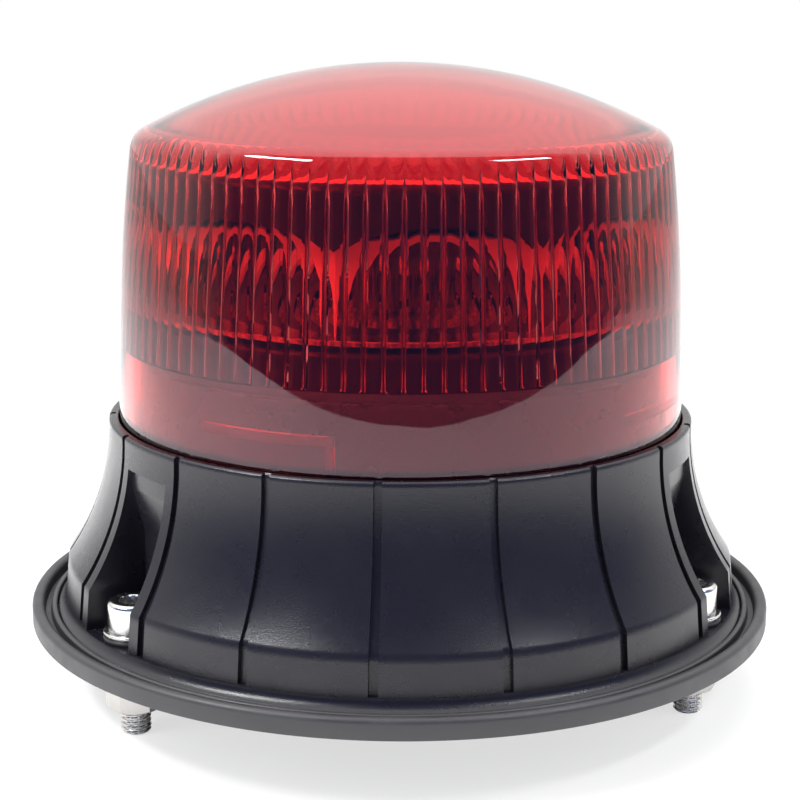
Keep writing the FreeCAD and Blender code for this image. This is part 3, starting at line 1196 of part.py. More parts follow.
NODES = (
    "mounting_gasket", "base_housing", "lens", "lens_seal", "chassis_drum", "heat_sink", "lamp_board",
    "lamp_diodes", "lower_bush", "upper_bush", "gear_plate", "motor_can", "motor_spindle",
    "motor_screws", "drive_gear", "motor_pinion", "rotor_shaft", "shaft_clip", "scoop_crown",
    "rotor_hood", "bottom_cover", "cable_grommet", "breather_vent", "driver_board", "terminal_block",
    "capacitors", "power_inductor", "controller_chip", "mounting_bolts", "bolt_washers",
    "sealing_washers", "bolt_sleeves", "mounting_nuts", "cover_screws", "drum_screws",
    "plate_screws", "sink_screws", "board_screws", "lamp_board_screws", "hood_screw",
)

doc.recompute()
for feature in doc.Objects:
    if {"Invalid", "Error"} & set(feature.State):
        raise RuntimeError(f"{feature.Name} failed: {feature.State}")

os.makedirs("parts", exist_ok=True)
for node in NODES:
    piece = doc.getObjectsByLabel(node)[0]
    shape = piece.Shape
    if shape.isNull() or not shape.isValid() or not shape.Solids:
        raise RuntimeError(f"{node} has no valid solid")
    shape.exportStep(f"parts/{node}.step")
    print(f"{node}: {len(shape.Solids)} solid(s), {shape.Volume / 1000:.2f} cm3")
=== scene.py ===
import bpy
import json
import math
import numpy as np
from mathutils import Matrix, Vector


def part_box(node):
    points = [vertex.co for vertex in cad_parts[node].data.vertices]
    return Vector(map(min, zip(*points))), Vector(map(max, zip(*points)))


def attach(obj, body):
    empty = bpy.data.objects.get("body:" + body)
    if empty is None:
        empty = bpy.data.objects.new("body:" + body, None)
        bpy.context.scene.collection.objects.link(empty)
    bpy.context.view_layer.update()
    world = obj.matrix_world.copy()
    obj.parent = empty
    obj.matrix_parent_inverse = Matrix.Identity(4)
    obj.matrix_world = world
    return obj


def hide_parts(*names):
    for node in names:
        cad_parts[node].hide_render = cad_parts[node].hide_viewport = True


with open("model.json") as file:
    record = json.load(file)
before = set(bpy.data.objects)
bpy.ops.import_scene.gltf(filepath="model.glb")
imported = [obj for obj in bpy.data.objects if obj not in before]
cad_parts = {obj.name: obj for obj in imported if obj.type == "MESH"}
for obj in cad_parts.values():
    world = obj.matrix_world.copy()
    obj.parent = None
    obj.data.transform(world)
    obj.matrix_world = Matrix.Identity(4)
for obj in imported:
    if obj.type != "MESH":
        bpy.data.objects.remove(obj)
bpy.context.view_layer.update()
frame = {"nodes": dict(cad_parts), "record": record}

# Mounting gasket
# A moulded rubber ring that seals the flange to the panel. Its thin web lies under the flange,
# an inner lip hugs the flange, and a rounded outer lip stands round a narrow trough.

MM = 0.001


def turn_between(first, last):
    """Signed angle from one plane vector to another."""
    return math.atan2(first[0] * last[1] - first[1] * last[0], first @ last)


def arc(middle, spoke, turn, steps):
    """Points middle + spoke turned by equal shares of a turn, both ends among them."""
    shares = np.linspace(0, turn, steps + 1)
    c, s = np.cos(shares), np.sin(shares)
    return list(middle + np.stack([c * spoke[0] - s * spoke[1], s * spoke[0] + c * spoke[1]], 1))


def rounded(corners, steps):
    """Closed outline through corners (x, z, round), each rounded by an arc tangent to its sides."""
    spots = [np.array(corner[:2], float) for corner in corners]
    outline = []
    for i, here in enumerate(spots):
        round_off = corners[i][2]
        if round_off == 0.0:
            outline.append(here)
            continue
        before = spots[i - 1] - here
        after = spots[(i + 1) % len(spots)] - here
        before, after = before / np.linalg.norm(before), after / np.linalg.norm(after)
        half = math.acos(np.clip(before @ after, -1, 1)) / 2
        inwards = (before + after) / np.linalg.norm(before + after)
        middle = here + inwards * round_off / math.sin(half)
        start = here + before * round_off / math.tan(half) - middle
        end = here + after * round_off / math.tan(half) - middle
        outline += arc(middle, start, turn_between(start, end), steps)
    return outline


def stack(rows, angles, poles=False):
    """Surface through rings; rows[i] is ring i's radius and height, a number or one per angle.

    A point is (radius cos angle, radius sin angle, height). Rows run counterclockwise round the
    section, so faces point outwards. With poles the first and last ring shrink to one point each.
    """
    n = len(angles)
    grid = np.empty((len(rows), n, 3))
    for i, (radius, height) in enumerate(rows):
        grid[i, :, 0] = radius * np.cos(angles)
        grid[i, :, 1] = radius * np.sin(angles)
        grid[i, :, 2] = height
    rings = grid[1:-1] if poles else grid
    points = rings.reshape(-1, 3)
    count = len(rings)
    column = np.arange(n)
    following = (column + 1) % n
    faces = []
    for i in range(count - 1 if poles else count):
        a, b = i * n, ((i + 1) % count) * n
        faces += np.stack([a + column, a + following, b + following, b + column], 1).tolist()
    if poles:
        first = len(points)
        last = (count - 1) * n
        points = np.vstack([points, grid[0].mean(0), grid[-1].mean(0)])
        faces += np.stack([np.full(n, first), following, column], 1).tolist()
        faces += np.stack([last + column, last + following, np.full(n, first + 1)], 1).tolist()
    return points, faces


def lathe(outline, columns):
    """Body of revolution of an outline round the upright axis."""
    return stack(outline, np.linspace(0, 2 * math.pi, columns, endpoint=False))


def place(name, solid, body, material, stands_for=(), crease=32.0):
    """Makes a solid, given in millimetres, an object that rides on a body.

    Edges that bend by more than the crease, in degrees, are drawn sharp.
    """
    points, faces = solid
    mesh = bpy.data.meshes.new(name)
    mesh.from_pydata((points * MM).tolist(), [], faces)
    mesh.validate()
    mesh.polygons.foreach_set("use_smooth", np.ones(len(mesh.polygons), bool))
    mesh.set_sharp_from_angle(angle=math.radians(crease))
    mesh.materials.append(material)
    piece = bpy.data.objects.new(name, mesh)
    bpy.context.scene.collection.objects.link(piece)
    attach(piece, body)
    if stands_for:
        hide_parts(*stands_for)


def feed(tree, socket, value):
    """Links an input to a socket, or sets it to a value."""
    if isinstance(value, bpy.types.NodeSocket):
        tree.links.new(value, socket)
    else:
        socket.default_value = value


def node(tree, kind, settings=(), **inputs):
    """Adds a shader node, sets its properties and feeds its named inputs."""
    made = tree.nodes.new(kind)
    for prop, value in dict(settings).items():
        setattr(made, prop, value)
    for name, value in inputs.items():
        feed(tree, made.inputs[name.replace("_", " ")], value)
    return made


def maths(tree, operation, first, second=0.0, **settings):
    """Result of a maths node on one or two values."""
    made = node(tree, "ShaderNodeMath", {"operation": operation, **settings})
    feed(tree, made.inputs[0], first)
    feed(tree, made.inputs[1], second)
    return made.outputs["Value"]


def group(name, inputs, outputs):
    """New shader node group; inputs are (name, value) and outputs (name, kind)."""
    tree = bpy.data.node_groups.new(name, "ShaderNodeTree")
    for label, value in inputs:
        socket = tree.interface.new_socket(label, in_out="INPUT", socket_type="NodeSocketFloat")
        socket.default_value = value
    for label, kind in outputs:
        tree.interface.new_socket(label, in_out="OUTPUT", socket_type=f"NodeSocket{kind}")
    return tree, tree.nodes.new("NodeGroupInput"), tree.nodes.new("NodeGroupOutput")


def use(tree, made, **inputs):
    """Places a node group in a material."""
    return node(tree, "ShaderNodeGroup", {"node_tree": made}, **inputs)


def noise(tree, size, detail, roughness):
    """Noise on the object's own coordinates, with features about size millimetres wide."""
    spot = node(tree, "ShaderNodeTexCoord").outputs["Object"]
    scale = maths(tree, "DIVIDE", 1 / MM, size)
    made = node(tree, "ShaderNodeTexNoise", Vector=spot, Scale=scale, Detail=detail,
                Roughness=roughness)
    return made.outputs["Fac"]


def grain_group():
    """Pebbled tool grain: one noise is a height of Depth millimetres, turned into a normal."""
    tree, given, result = group("moulded_grain", [("Size", 0.4), ("Depth", 0.02)],
                                [("Normal", "Vector"), ("Pebble", "Float")])
    cells = noise(tree, given.outputs["Size"], 2.0, 0.55)
    depth = maths(tree, "MULTIPLY", given.outputs["Depth"], MM)
    bump = node(tree, "ShaderNodeBump", Height=cells, Distance=depth, Strength=1.0)
    tree.links.new(bump.outputs["Normal"], result.inputs["Normal"])
    tree.links.new(cells, result.inputs["Pebble"])
    return tree


def handling_group():
    """Uneven sheen of a handled surface: one noise, as a tone and as a span from Low to High."""
    tree, given, result = group("handling", [("Size", 20.0), ("Low", 0.4), ("High", 0.6)],
                                [("Tone", "Float"), ("Spread", "Float")])
    clouds = noise(tree, given.outputs["Size"], 5.0, 0.6)
    spread = node(tree, "ShaderNodeMapRange", Value=clouds, From_Min=0.3, From_Max=0.7,
                  To_Min=given.outputs["Low"], To_Max=given.outputs["High"])
    tree.links.new(clouds, result.inputs["Tone"])
    tree.links.new(spread.outputs["Result"], result.inputs["Spread"])
    return tree


GRAIN = grain_group()
HANDLING = handling_group()


def finish_of(name, colour, roughness, **fixed):
    """Material with one Principled shader. Fixed sockets are set directly on it."""
    made = bpy.data.materials.new(name)
    made.use_nodes = True
    shader = made.node_tree.nodes["Principled BSDF"]
    shader.inputs["Base Color"].default_value = (*colour, 1.0)
    shader.inputs["Roughness"].default_value = roughness
    for label, value in fixed.items():
        shader.inputs[label.replace("_", " ")].default_value = value
    return made, made.node_tree, shader


def coat(tree, shader, mask, dark, light, sheen, grain=None):
    """Gives a shader a colour from dark to light by a mask, an uneven sheen, and grain if any."""
    mix = node(tree, "ShaderNodeMix", {"data_type": "RGBA"}, Factor=mask, A=(*dark, 1.0),
               B=(*light, 1.0))
    tree.links.new(mix.outputs["Result"], shader.inputs["Base Color"])
    tree.links.new(sheen.outputs["Spread"], shader.inputs["Roughness"])
    if grain:
        tree.links.new(grain.outputs["Normal"], shader.inputs["Normal"])


def rubber(name):
    """Moulded rubber: dull, slightly mottled, with a very fine grain."""
    made, tree, shader = finish_of(name, (0.018, 0.018, 0.02), 0.5)
    sheen = use(tree, HANDLING, Size=9.0, Low=0.40, High=0.58)
    grain = use(tree, GRAIN, Size=0.5, Depth=0.012)
    coat(tree, shader, sheen.outputs["Tone"], (0.012, 0.012, 0.014), (0.026, 0.026, 0.029),
         sheen, grain)
    return made


gasket_rubber = rubber("gasket_rubber")
GASKET_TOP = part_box("mounting_gasket")[1][2] / MM
GASKET_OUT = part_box("mounting_gasket")[1][0] / MM
GASKET_BORE = 57.0
WEB = 1.5
FLANGE = 73.2
LIP = FLANGE + 0.2
LIP_TOP = WEB + 1.8
RIDGE = LIP + 1.2
TROUGH = RIDGE + 1.4
RIM_ROUND = 1.15
gasket_outline = rounded([
    (GASKET_BORE, 0.0, 0.2), (GASKET_OUT, 0.0, 0.3), (GASKET_OUT, GASKET_TOP, RIM_ROUND),
    (TROUGH, GASKET_TOP, RIM_ROUND), (TROUGH, WEB, 0.3), (RIDGE, WEB, 0.3), (RIDGE, LIP_TOP, 0.5),
    (LIP, LIP_TOP, 0.4), (LIP, WEB, 0.1), (GASKET_BORE, WEB, 0.2)], 6)
place("gasket_ring", lathe(gasket_outline, 288), "housing", gasket_rubber,
      ["mounting_gasket"])

# Base housing
# Black moulded plastic with a fine pebbled grain, in one piece: a flared shell on a flange,
# divided by narrow grooves, with three pockets for the bolts and a channel for the lens skirt.

FLANGE_TOP = 3.0
FOOT = (71.4, 5.4)
FOOT_BEND = 2.5
KINK = 70.7
COLLAR = 61.4
COLLAR_TOP = 42.7
FLARE_TOP = COLLAR_TOP - 0.5
FLARE_BEND = 51.0
CHANNEL = 59.5
CHANNEL_FLOOR = 34.0
SPIGOT = 55.0
SPIGOT_BORE = 53.0
SPIGOT_TOP = 55.6
SHELF = 44.0
SHELF_UNDER = 41.5
SHELF_HOLE = 36.5
BAY = 56.0
BAY_TOP = 31.5
GROOVES = 20.0 * np.arange(18)
GROOVE_DEPTH = 1.0
GROOVE_FOOT = 5.3
GROOVE_HALF = 0.7
GROOVE_EDGE = 0.05
POCKETS = np.array([90.0, 210.0, 330.0])
POCKET_HALF = 7.0
POCKET_EDGE = 0.0125
POCKET_FLOOR = 4.6
POCKET_TOP = 36.7
POCKET_BACK_HEIGHTS = (23.7, 33.0)
POCKET_BACK_RADII = (58.6, 60.9)


def bow(start, end, bend, steps):
    """Points inside an arc of radius |bend| from start to end; bend is above 0 to turn left."""
    start, end = np.array(start), np.array(end)
    chord = end - start
    length = np.linalg.norm(chord)
    left = np.array([-chord[1], chord[0]]) / length
    rise = math.copysign(math.sqrt(bend ** 2 - length ** 2 / 4), bend)
    middle = (start + end) / 2 + left * rise
    spoke = start - middle
    return arc(middle, spoke, turn_between(spoke, end - middle), steps + 1)[1:-1]


def joined(solids):
    """Several solids as one list of points and faces."""
    points, faces, start = [], [], 0
    for p, f in solids:
        points.append(p)
        faces += [[start + v for v in face] for face in f]
        start += len(p)
    return np.vstack(points), faces


def near(angles, middles, half):
    """Which angles, in degrees, lie within half of one of the middles."""
    aside = np.abs((angles[:, None] - middles + 180) % 360 - 180)
    return (aside <= half + 1e-6).any(1)


def flare(z):
    """Outside radius of the flare at height z: a circle of FLARE_BEND, upright at the collar."""
    return COLLAR + FLARE_BEND - np.sqrt(FLARE_BEND ** 2 - (FLARE_TOP - z) ** 2)


def housing_columns():
    """Angles in degrees: even all round, with a close pair at each side of a groove or pocket."""
    even = np.arange(0, 360, 1.25) + 0.31
    g, p = GROOVE_HALF + GROOVE_EDGE, POCKET_HALF + POCKET_EDGE
    groove = np.array([-g, -GROOVE_HALF, 0.0, GROOVE_HALF, g])
    pocket = np.array([-p, -POCKET_HALF, POCKET_HALF, p])
    angles = [even, (GROOVES[:, None] + groove).ravel(), (POCKETS[:, None] + pocket).ravel()]
    return np.unique(np.round(np.mod(np.concatenate(angles), 360), 4))


def flare_profile(flange_edge):
    """Points (radius, height) up the outside: a hollow foot, a straight band and the flare.

    Points are added on it at the heights where grooves and pockets start and end.
    """
    kink_height = FLARE_TOP - math.sqrt(FLARE_BEND ** 2 - (FLARE_BEND - (KINK - COLLAR)) ** 2)
    band = np.linspace(FOOT[1], kink_height, 6)
    rise = np.linspace(kink_height, FLARE_TOP, 48)[1:]
    profile = np.vstack([
        bow(flange_edge, FOOT, -FOOT_BEND, 8),
        np.stack([np.interp(band, [FOOT[1], kink_height], [FOOT[0], KINK]), band], 1),
        np.stack([flare(rise), rise], 1)])
    heights = np.array([GROOVE_FOOT, GROOVE_FOOT + 0.05, POCKET_FLOOR, POCKET_FLOOR + 0.04,
                        POCKET_TOP, POCKET_TOP + 0.04, *POCKET_BACK_HEIGHTS])
    added = np.stack([np.interp(heights, profile[:, 1], profile[:, 0]), heights], 1)
    profile = np.vstack([profile, added])
    return profile[np.argsort(profile[:, 1], kind="stable")]


def housing_solid():
    """Shell of revolution whose outer rings step inwards at the grooves and at the bolt pockets.

    Between two heights a groove takes its depth off the radius within its half angle, and a pocket
    sets the radius to that of its back wall within its own half angle.
    """
    angles = housing_columns()
    in_groove = near(angles, GROOVES, GROOVE_HALF)
    in_pocket = near(angles, POCKETS, POCKET_HALF)
    flange_edge = (FLANGE - 0.25, FLANGE_TOP)
    rows = [(BAY, WEB), (FLANGE - 0.3, WEB), (FLANGE, WEB + 0.3), (FLANGE, FLANGE_TOP - 0.3),
            flange_edge]
    for radius, z in flare_profile(flange_edge):
        ring = np.full(len(angles), radius)
        if z > GROOVE_FOOT + 0.01:
            ring[in_groove] -= GROOVE_DEPTH
        if POCKET_FLOOR + 0.01 < z < POCKET_TOP + 0.01:
            ring[in_pocket] = np.interp(z, POCKET_BACK_HEIGHTS, POCKET_BACK_RADII)
        rows.append((ring, z))
    cut = np.where(in_groove, GROOVE_DEPTH, 0.0)
    rows += [(COLLAR - 0.12 - cut, FLARE_TOP + 0.25), (COLLAR - 0.5 - cut * 0.8, COLLAR_TOP)]
    # The last two corners only lead the outline back to its start and are dropped again.
    rows += rounded([
        (CHANNEL, COLLAR_TOP, 0.25), (CHANNEL, CHANNEL_FLOOR, 0.4), (SPIGOT, CHANNEL_FLOOR, 0.4),
        (SPIGOT, SPIGOT_TOP, 0.4), (SPIGOT_BORE, SPIGOT_TOP, 0.4), (SPIGOT_BORE, SHELF, 0.3),
        (SHELF_HOLE, SHELF, 0.3), (SHELF_HOLE, SHELF_UNDER, 0.3), (SPIGOT_BORE, SHELF_UNDER, 0.3),
        (SPIGOT_BORE, BAY_TOP, 0.3), (BAY, BAY_TOP, 0.3), (BAY, WEB + 1, 0.0),
        (KINK, COLLAR_TOP, 0.0)], 3)[:-2]
    return stack(rows, np.radians(angles))


def ledge_block(inner, outer, low, high, start, end, steps=24):
    """Block that follows the wall between two angles in degrees, closed at its ends."""
    angles = np.radians(np.linspace(start, end, steps + 1))[:, None]
    radius = np.array([inner, outer, outer, inner])
    height = np.array([low, low, high, high]) + 0 * angles
    points = np.stack([radius * np.cos(angles), radius * np.sin(angles), height], 2).reshape(-1, 3)
    near_end = 4 * np.arange(steps)[:, None]
    side = near_end + np.arange(4)
    following = near_end + np.roll(np.arange(4), -1)
    faces = np.stack([side + 4, following + 4, following, side], 2).reshape(-1, 4).tolist()
    faces += [[0, 1, 2, 3], [4 * steps + k for k in (3, 2, 1, 0)]]
    return points, faces


def pebbled_plastic(name, dark, light, low, high):
    """Black moulding: pebbled grain that breaks up the gloss, with slight marks from handling."""
    made, tree, shader = finish_of(name, dark, low, Specular_IOR_Level=0.4)
    sheen = use(tree, HANDLING, Size=14.0, Low=low, High=high)
    grain = use(tree, GRAIN, Size=0.24, Depth=0.035)
    coat(tree, shader, grain.outputs["Pebble"], dark, light, sheen, grain)
    return made


housing_black = pebbled_plastic("housing_black", (0.003, 0.0028, 0.005), (0.008, 0.007, 0.011),
                                0.24, 0.32)
place("housing_shell", housing_solid(), "housing", housing_black, ["base_housing"])
LOCKS = [-108.5 + 90 * k for k in range(4)]
STOP_SPAN = 1.6
LEDGE = (40.2, 42.2)
LEDGE_SPAN = 26.0
ledges = [ledge_block(SPIGOT - 0.3, SPIGOT + 1.3, *LEDGE, lock - STOP_SPAN - LEDGE_SPAN,
                      lock - STOP_SPAN) for lock in LOCKS]
place("bayonet_ledges", joined(ledges), "housing", housing_black)

# Mounting bolts, washers and nuts
# Polished stainless cap bolts hold the flange. Each has a bright washer over a dark rubber one,
# and a nut run on below the gasket. The threads are rolled and end in a small chamfer.

BOLT_CIRCLE = 65.0
HEAD = 5.0
HEAD_SEAT = 6.5
HEAD_TOP = 12.5
HEAD_ROUND = 0.9
SOCKET_ACROSS = 5.0
SOCKET_DEEP = 3.0
SHANK = 2.95
BOLT_TIP = -15.0
THREAD_END = 1.0
THREAD_PITCH = 1.0
THREAD_ROOT = 2.46
THREAD_DEPTH = 0.54
NUT_LOW = -9.8
NUT_HIGH = -4.8
NUT_ACROSS = 10.0
NUT_BORE = 2.8
NUT_MOUTH = 3.1
NUT_FACE = 4.75
WASHER = 6.0
WASHER_BORE = 3.2
WASHER_LOW = 5.5
SEAL_BORE = 3.0
SLEEVE = 4.6


def six_sided(across, angles):
    """Distance to a hexagon's sides, one square to angle 0: half its width over the cosine."""
    return across / 2 / np.cos((angles + math.pi / 6) % (math.pi / 3) - math.pi / 6)


def cap_bolt(columns=60):
    """Bolt on the axis: a thread, a shank and a head with a hexagon socket.

    The radius of the thread is a triangle wave of height minus turn.
    """
    angles = np.linspace(0, 2 * math.pi, columns, endpoint=False)
    rows = [(0.0, BOLT_TIP), (2.3, BOLT_TIP), (2.5, BOLT_TIP + 0.1)]
    for z in np.arange(BOLT_TIP + 0.25, THREAD_END, 0.1):
        wave = np.abs(((z / THREAD_PITCH - angles / (2 * math.pi)) % 1.0) * 2 - 1)
        crest = THREAD_ROOT + THREAD_DEPTH * np.clip(wave * 1.35 - 0.1, 0, 1)
        rows.append((np.minimum(crest, 2.45 + (z - BOLT_TIP) * 0.9), z))
    rows += [(SHANK, 1.4), (SHANK, HEAD_SEAT - 0.3), (3.2, HEAD_SEAT), (HEAD - 0.25, HEAD_SEAT)]
    round_low = HEAD_TOP - HEAD_ROUND
    rows += [(HEAD, z) for z in (HEAD_SEAT + 0.25, HEAD_SEAT + 1.5, HEAD_SEAT + 3.0, round_low)]
    rows += [(HEAD - HEAD_ROUND + HEAD_ROUND * math.cos(a), round_low + HEAD_ROUND * math.sin(a))
             for a in np.radians([20, 40, 60, 75, 90])]
    socket = six_sided(SOCKET_ACROSS, angles)
    rows += [(np.maximum(socket, 2.9), HEAD_TOP), (np.maximum(socket, 2.6), HEAD_TOP - 0.25),
             (socket, HEAD_TOP - 0.5), (socket, HEAD_TOP - SOCKET_DEEP),
             (socket * 0.5, HEAD_TOP - SOCKET_DEEP - 0.2), (0.0, HEAD_TOP - SOCKET_DEEP - 0.5)]
    return stack(rows, angles, poles=True)


def hexagon_nut(columns=60):
    """Hexagon nut: the smaller of a hexagon and a cone at each end gives its curved chamfer."""
    angles = np.linspace(0, 2 * math.pi, columns, endpoint=False)
    body = six_sided(NUT_ACROSS, angles)
    drops = np.array([0.05, 0.15, 0.3, 0.55])
    cone = [np.minimum(body, 4.8 + drop * 1.9) for drop in drops]
    rows = [(NUT_MOUTH, NUT_LOW), (NUT_FACE, NUT_LOW), *zip(cone, NUT_LOW + drops)]
    rows += [(body, NUT_LOW + 0.7), (body, NUT_HIGH - 0.7)]
    rows += [*zip(cone[::-1], NUT_HIGH - drops[::-1]), (NUT_FACE, NUT_HIGH), (NUT_MOUTH, NUT_HIGH)]
    rows += [(NUT_BORE, NUT_HIGH - 0.3), (NUT_BORE, NUT_LOW + 0.3)]
    return stack(rows, angles)


def ring_outline(inner, outer, low, high, bevel, steps=3):
    """Section of a flat ring with its outer edges bevelled."""
    return rounded([(inner, low, 0.1), (outer, low, bevel), (outer, high, bevel),
                    (inner, high, 0.1)], steps)


def at_bolts(solid):
    """The same solid turned and set down at each bolt, facing outwards."""
    points, faces = solid
    copies = []
    for a in np.radians(POCKETS):
        c, s = math.cos(a), math.sin(a)
        turned = points @ np.array([[c, s, 0], [-s, c, 0], [0, 0, 1]])
        copies.append((turned + np.array([BOLT_CIRCLE * c, BOLT_CIRCLE * s, 0]), faces))
    return joined(copies)


def turned_metal(name, colour, low, high, mottle):
    """Metal with a broken sheen: roughness and tone wander, and fine scratches tilt the surface."""
    made, tree, shader = finish_of(name, colour, low, Metallic=1.0)
    sheen = use(tree, HANDLING, Size=2.2, Low=low, High=high)
    grain = use(tree, GRAIN, Size=0.25, Depth=0.006)
    dark = [c * mottle for c in colour]
    coat(tree, shader, sheen.outputs["Tone"], dark, colour, sheen, grain)
    return made


bolt_steel = turned_metal("bolt_steel", (0.72, 0.71, 0.69), 0.12, 0.3, 0.75)
nut_steel = turned_metal("nut_steel", (0.62, 0.6, 0.57), 0.34, 0.5, 0.7)
place("cap_bolts", at_bolts(cap_bolt()), "housing", bolt_steel, ["mounting_bolts"])
place("hexagon_nuts", at_bolts(hexagon_nut()), "housing", nut_steel,
      ["mounting_nuts"])
washer = lathe(ring_outline(WASHER_BORE, WASHER, WASHER_LOW, HEAD_SEAT, 0.3), 60)
place("steel_washers", at_bolts(washer), "housing", bolt_steel, ["bolt_washers"])
seal = lathe(ring_outline(SEAL_BORE, WASHER, POCKET_FLOOR, WASHER_LOW, 0.35), 60)
place("rubber_washers", at_bolts(seal), "housing", gasket_rubber,
      ["sealing_washers"])
sleeve = lathe(ring_outline(WASHER_BORE, SLEEVE, WEB, POCKET_FLOOR, 0.1, 2), 48)
place("flange_sleeves", at_bolts(sleeve), "housing", nut_steel, ["bolt_sleeves"])

# Chassis drum
# A satin black moulded drum that stands on the housing's shelf and closes the works off from
# above. Its deck has a round hole over the lamp board and a rounded rim.

DRUM_OUT = 52.0
DRUM_BORE = 50.0
DRUM_FOOT = SHELF + 0.05
DRUM_TOP = 64.5
DECK_UNDER = 62.0
DECK_HOLE = 24.0
drum_outline = rounded([
    (DECK_HOLE, DECK_UNDER, 0.3), (DRUM_BORE, DECK_UNDER, 0.3), (DRUM_BORE, DRUM_FOOT, 0.2),
    (DRUM_OUT, DRUM_FOOT, 0.2), (DRUM_OUT, DRUM_TOP, 1.2), (DECK_HOLE, DRUM_TOP, 0.4)], 4)
chassis_black = pebbled_plastic("chassis_black", (0.012, 0.011, 0.013), (0.022, 0.021, 0.024),
                                0.3, 0.4)
place("drum_shell", lathe(drum_outline, 240), "housing", chassis_black,
      ["chassis_drum"])

# Rotor crown
# A moulded crown of scoops, coated with bright metal in a vacuum. Each scoop is half a bowl that
# throws the light of the lamp board outwards; a face of arches and a flat rim join their mouths.

SCOOPS = 8
SCOOP_AT = -88.3
SECTOR = 360.0 / SCOOPS
MOUTH = 43.0
SCOOP_LEVEL = 70.0
HOLLOW = (33.0, 17.3, 14.0)
OUTSIDE = (36.0, 18.7, 15.4)
FACE_TOP = 84.5
FACE_WALL = 1.6
FACE_BACK = MOUTH - FACE_WALL
CROWN_LOW = 65.4
CROWN_RIM = 50.6
CROWN_RIM_TOP = CROWN_LOW + 1.2
HUB = 8.5
HUB_BORE = 3.05
HUB_TOP = 87.6


def scoop_angles(steps=16):
    """Angles in degrees, close together beside the pillars between scoops, wider in a mouth."""
    half = SECTOR / 2 * np.sin(np.linspace(-math.pi / 2, math.pi / 2, 2 * steps + 1))[:-1]
    return (SCOOP_AT + SECTOR * np.arange(SCOOPS)[:, None] + half).ravel()


def to_scoop(angles):
    """Angle from the middle of the nearest scoop, in radians, for angles in degrees."""
    return np.radians((angles - SCOOP_AT + SECTOR / 2) % SECTOR - SECTOR / 2)


def scoop_height(u, off, size, foot):
    """Height of half an ellipsoid at u outwards and off aside, or the foot's height beyond it."""
    along, across, rise = size
    inside = 1 - ((MOUTH - u) / along) ** 2 - (u * np.tan(off) / across) ** 2
    return np.where(inside > 0, SCOOP_LEVEL + rise * np.sqrt(np.maximum(inside, 0)), foot)


def face_crest(off):
    """Height of the face of arches: level, or that of a scoop's outside where it stands higher."""
    return np.maximum(FACE_TOP, scoop_height(MOUTH, off, OUTSIDE, SCOOP_LEVEL))


def eight_sided(rows, angles, off):
    """Surface through rings at distance u from the axis, square to the middle of each scoop."""
    return stack([(u / np.cos(off), z) for u, z in rows], np.radians(angles))


def crown_solid():
    """Rows run out along the scoops' ceilings, up the face of arches and back over their tops."""
    angles = scoop_angles()
    off = to_scoop(angles)
    edge = 0.3
    crest = face_crest(off)
    behind = np.maximum(crest - edge, scoop_height(FACE_BACK, off, OUTSIDE, SCOOP_LEVEL))
    rows = [(u, scoop_height(u, off, HOLLOW, CROWN_LOW)) for u in np.linspace(HUB - 1, MOUTH, 40)]
    rows += [(MOUTH, crest - edge), (MOUTH - edge, crest), (FACE_BACK + edge, crest),
             (FACE_BACK, behind)]
    rows += [(u, scoop_height(u, off, OUTSIDE, SCOOP_LEVEL))
             for u in np.linspace(FACE_BACK, HUB - 1, 36)]
    return eight_sided(rows, angles, off)


def crown_rim():
    """Flat rim: round outside, with a window inside that follows the mouths."""
    angles = scoop_angles()
    window = FACE_BACK / np.cos(to_scoop(angles))
    rows = [(window, CROWN_LOW), (CROWN_RIM - 0.2, CROWN_LOW), (CROWN_RIM, CROWN_LOW + 0.2),
            (CROWN_RIM, CROWN_RIM_TOP - 0.2), (CROWN_RIM - 0.2, CROWN_RIM_TOP),
            (window, CROWN_RIM_TOP)]
    return stack(rows, np.radians(angles))


def arch_face():
    """Thin skin on the face and the crest of the arches, a little proud of the coat, in a light
    satin that paints their highlight.
    """
    angles = scoop_angles()
    off = to_scoop(angles)
    proud = 0.06
    foot = scoop_height(MOUTH, off, HOLLOW, CROWN_RIM_TOP)
    crest = face_crest(off)
    rows = [(MOUTH - 0.2, foot - proud), (MOUTH + proud, foot - proud),
            (MOUTH + proud, crest - 0.25), (MOUTH - 0.25, crest + proud),
            (FACE_BACK + 0.3, crest + proud),
            (FACE_BACK + 0.3, crest - 0.2), (MOUTH - 0.4, crest - 0.2), (MOUTH - 0.4, crest - 0.4)]
    return eight_sided(rows, angles, off)


def metallised(name):
    """Vacuum coated plastic: a bright mirror with a faint haze and the ripple of the moulding."""
    made, tree, shader = finish_of(name, (0.58, 0.58, 0.59), 0.2, Metallic=1.0)
    sheen = use(tree, HANDLING, Size=6.0, Low=0.15, High=0.25)
    grain = use(tree, GRAIN, Size=5.0, Depth=0.03)
    coat(tree, shader, sheen.outputs["Tone"], (0.5, 0.5, 0.52), (0.64, 0.64, 0.64), sheen, grain)
    return made


mirror_coat = metallised("mirror_coat")
hub = lathe(ring_outline(HUB_BORE, HUB, CROWN_LOW, HUB_TOP, 0.3), 96)
crown = joined([crown_solid(), crown_rim(), hub])
place("crown_of_scoops", crown, "rotor", mirror_coat, ["scoop_crown"], crease=24)


def painted_light_satin(name):
    """Light satin finish, slightly clouded: it paints a highlight on the arches and light on the
    hood plate.
    """
    made, tree, shader = finish_of(name, (0.8, 0.8, 0.8), 0.4, Metallic=0.25)
    sheen = use(tree, HANDLING, Size=5.0, Low=0.34, High=0.5)
    coat(tree, shader, sheen.outputs["Tone"], (0.7, 0.7, 0.71), (0.86, 0.86, 0.86), sheen)
    return made


# The light satin on the arches is a painted highlight along their face and crest.
place("painted_arch_highlights", arch_face(), "rotor", painted_light_satin("painted_light_satin"), crease=24)
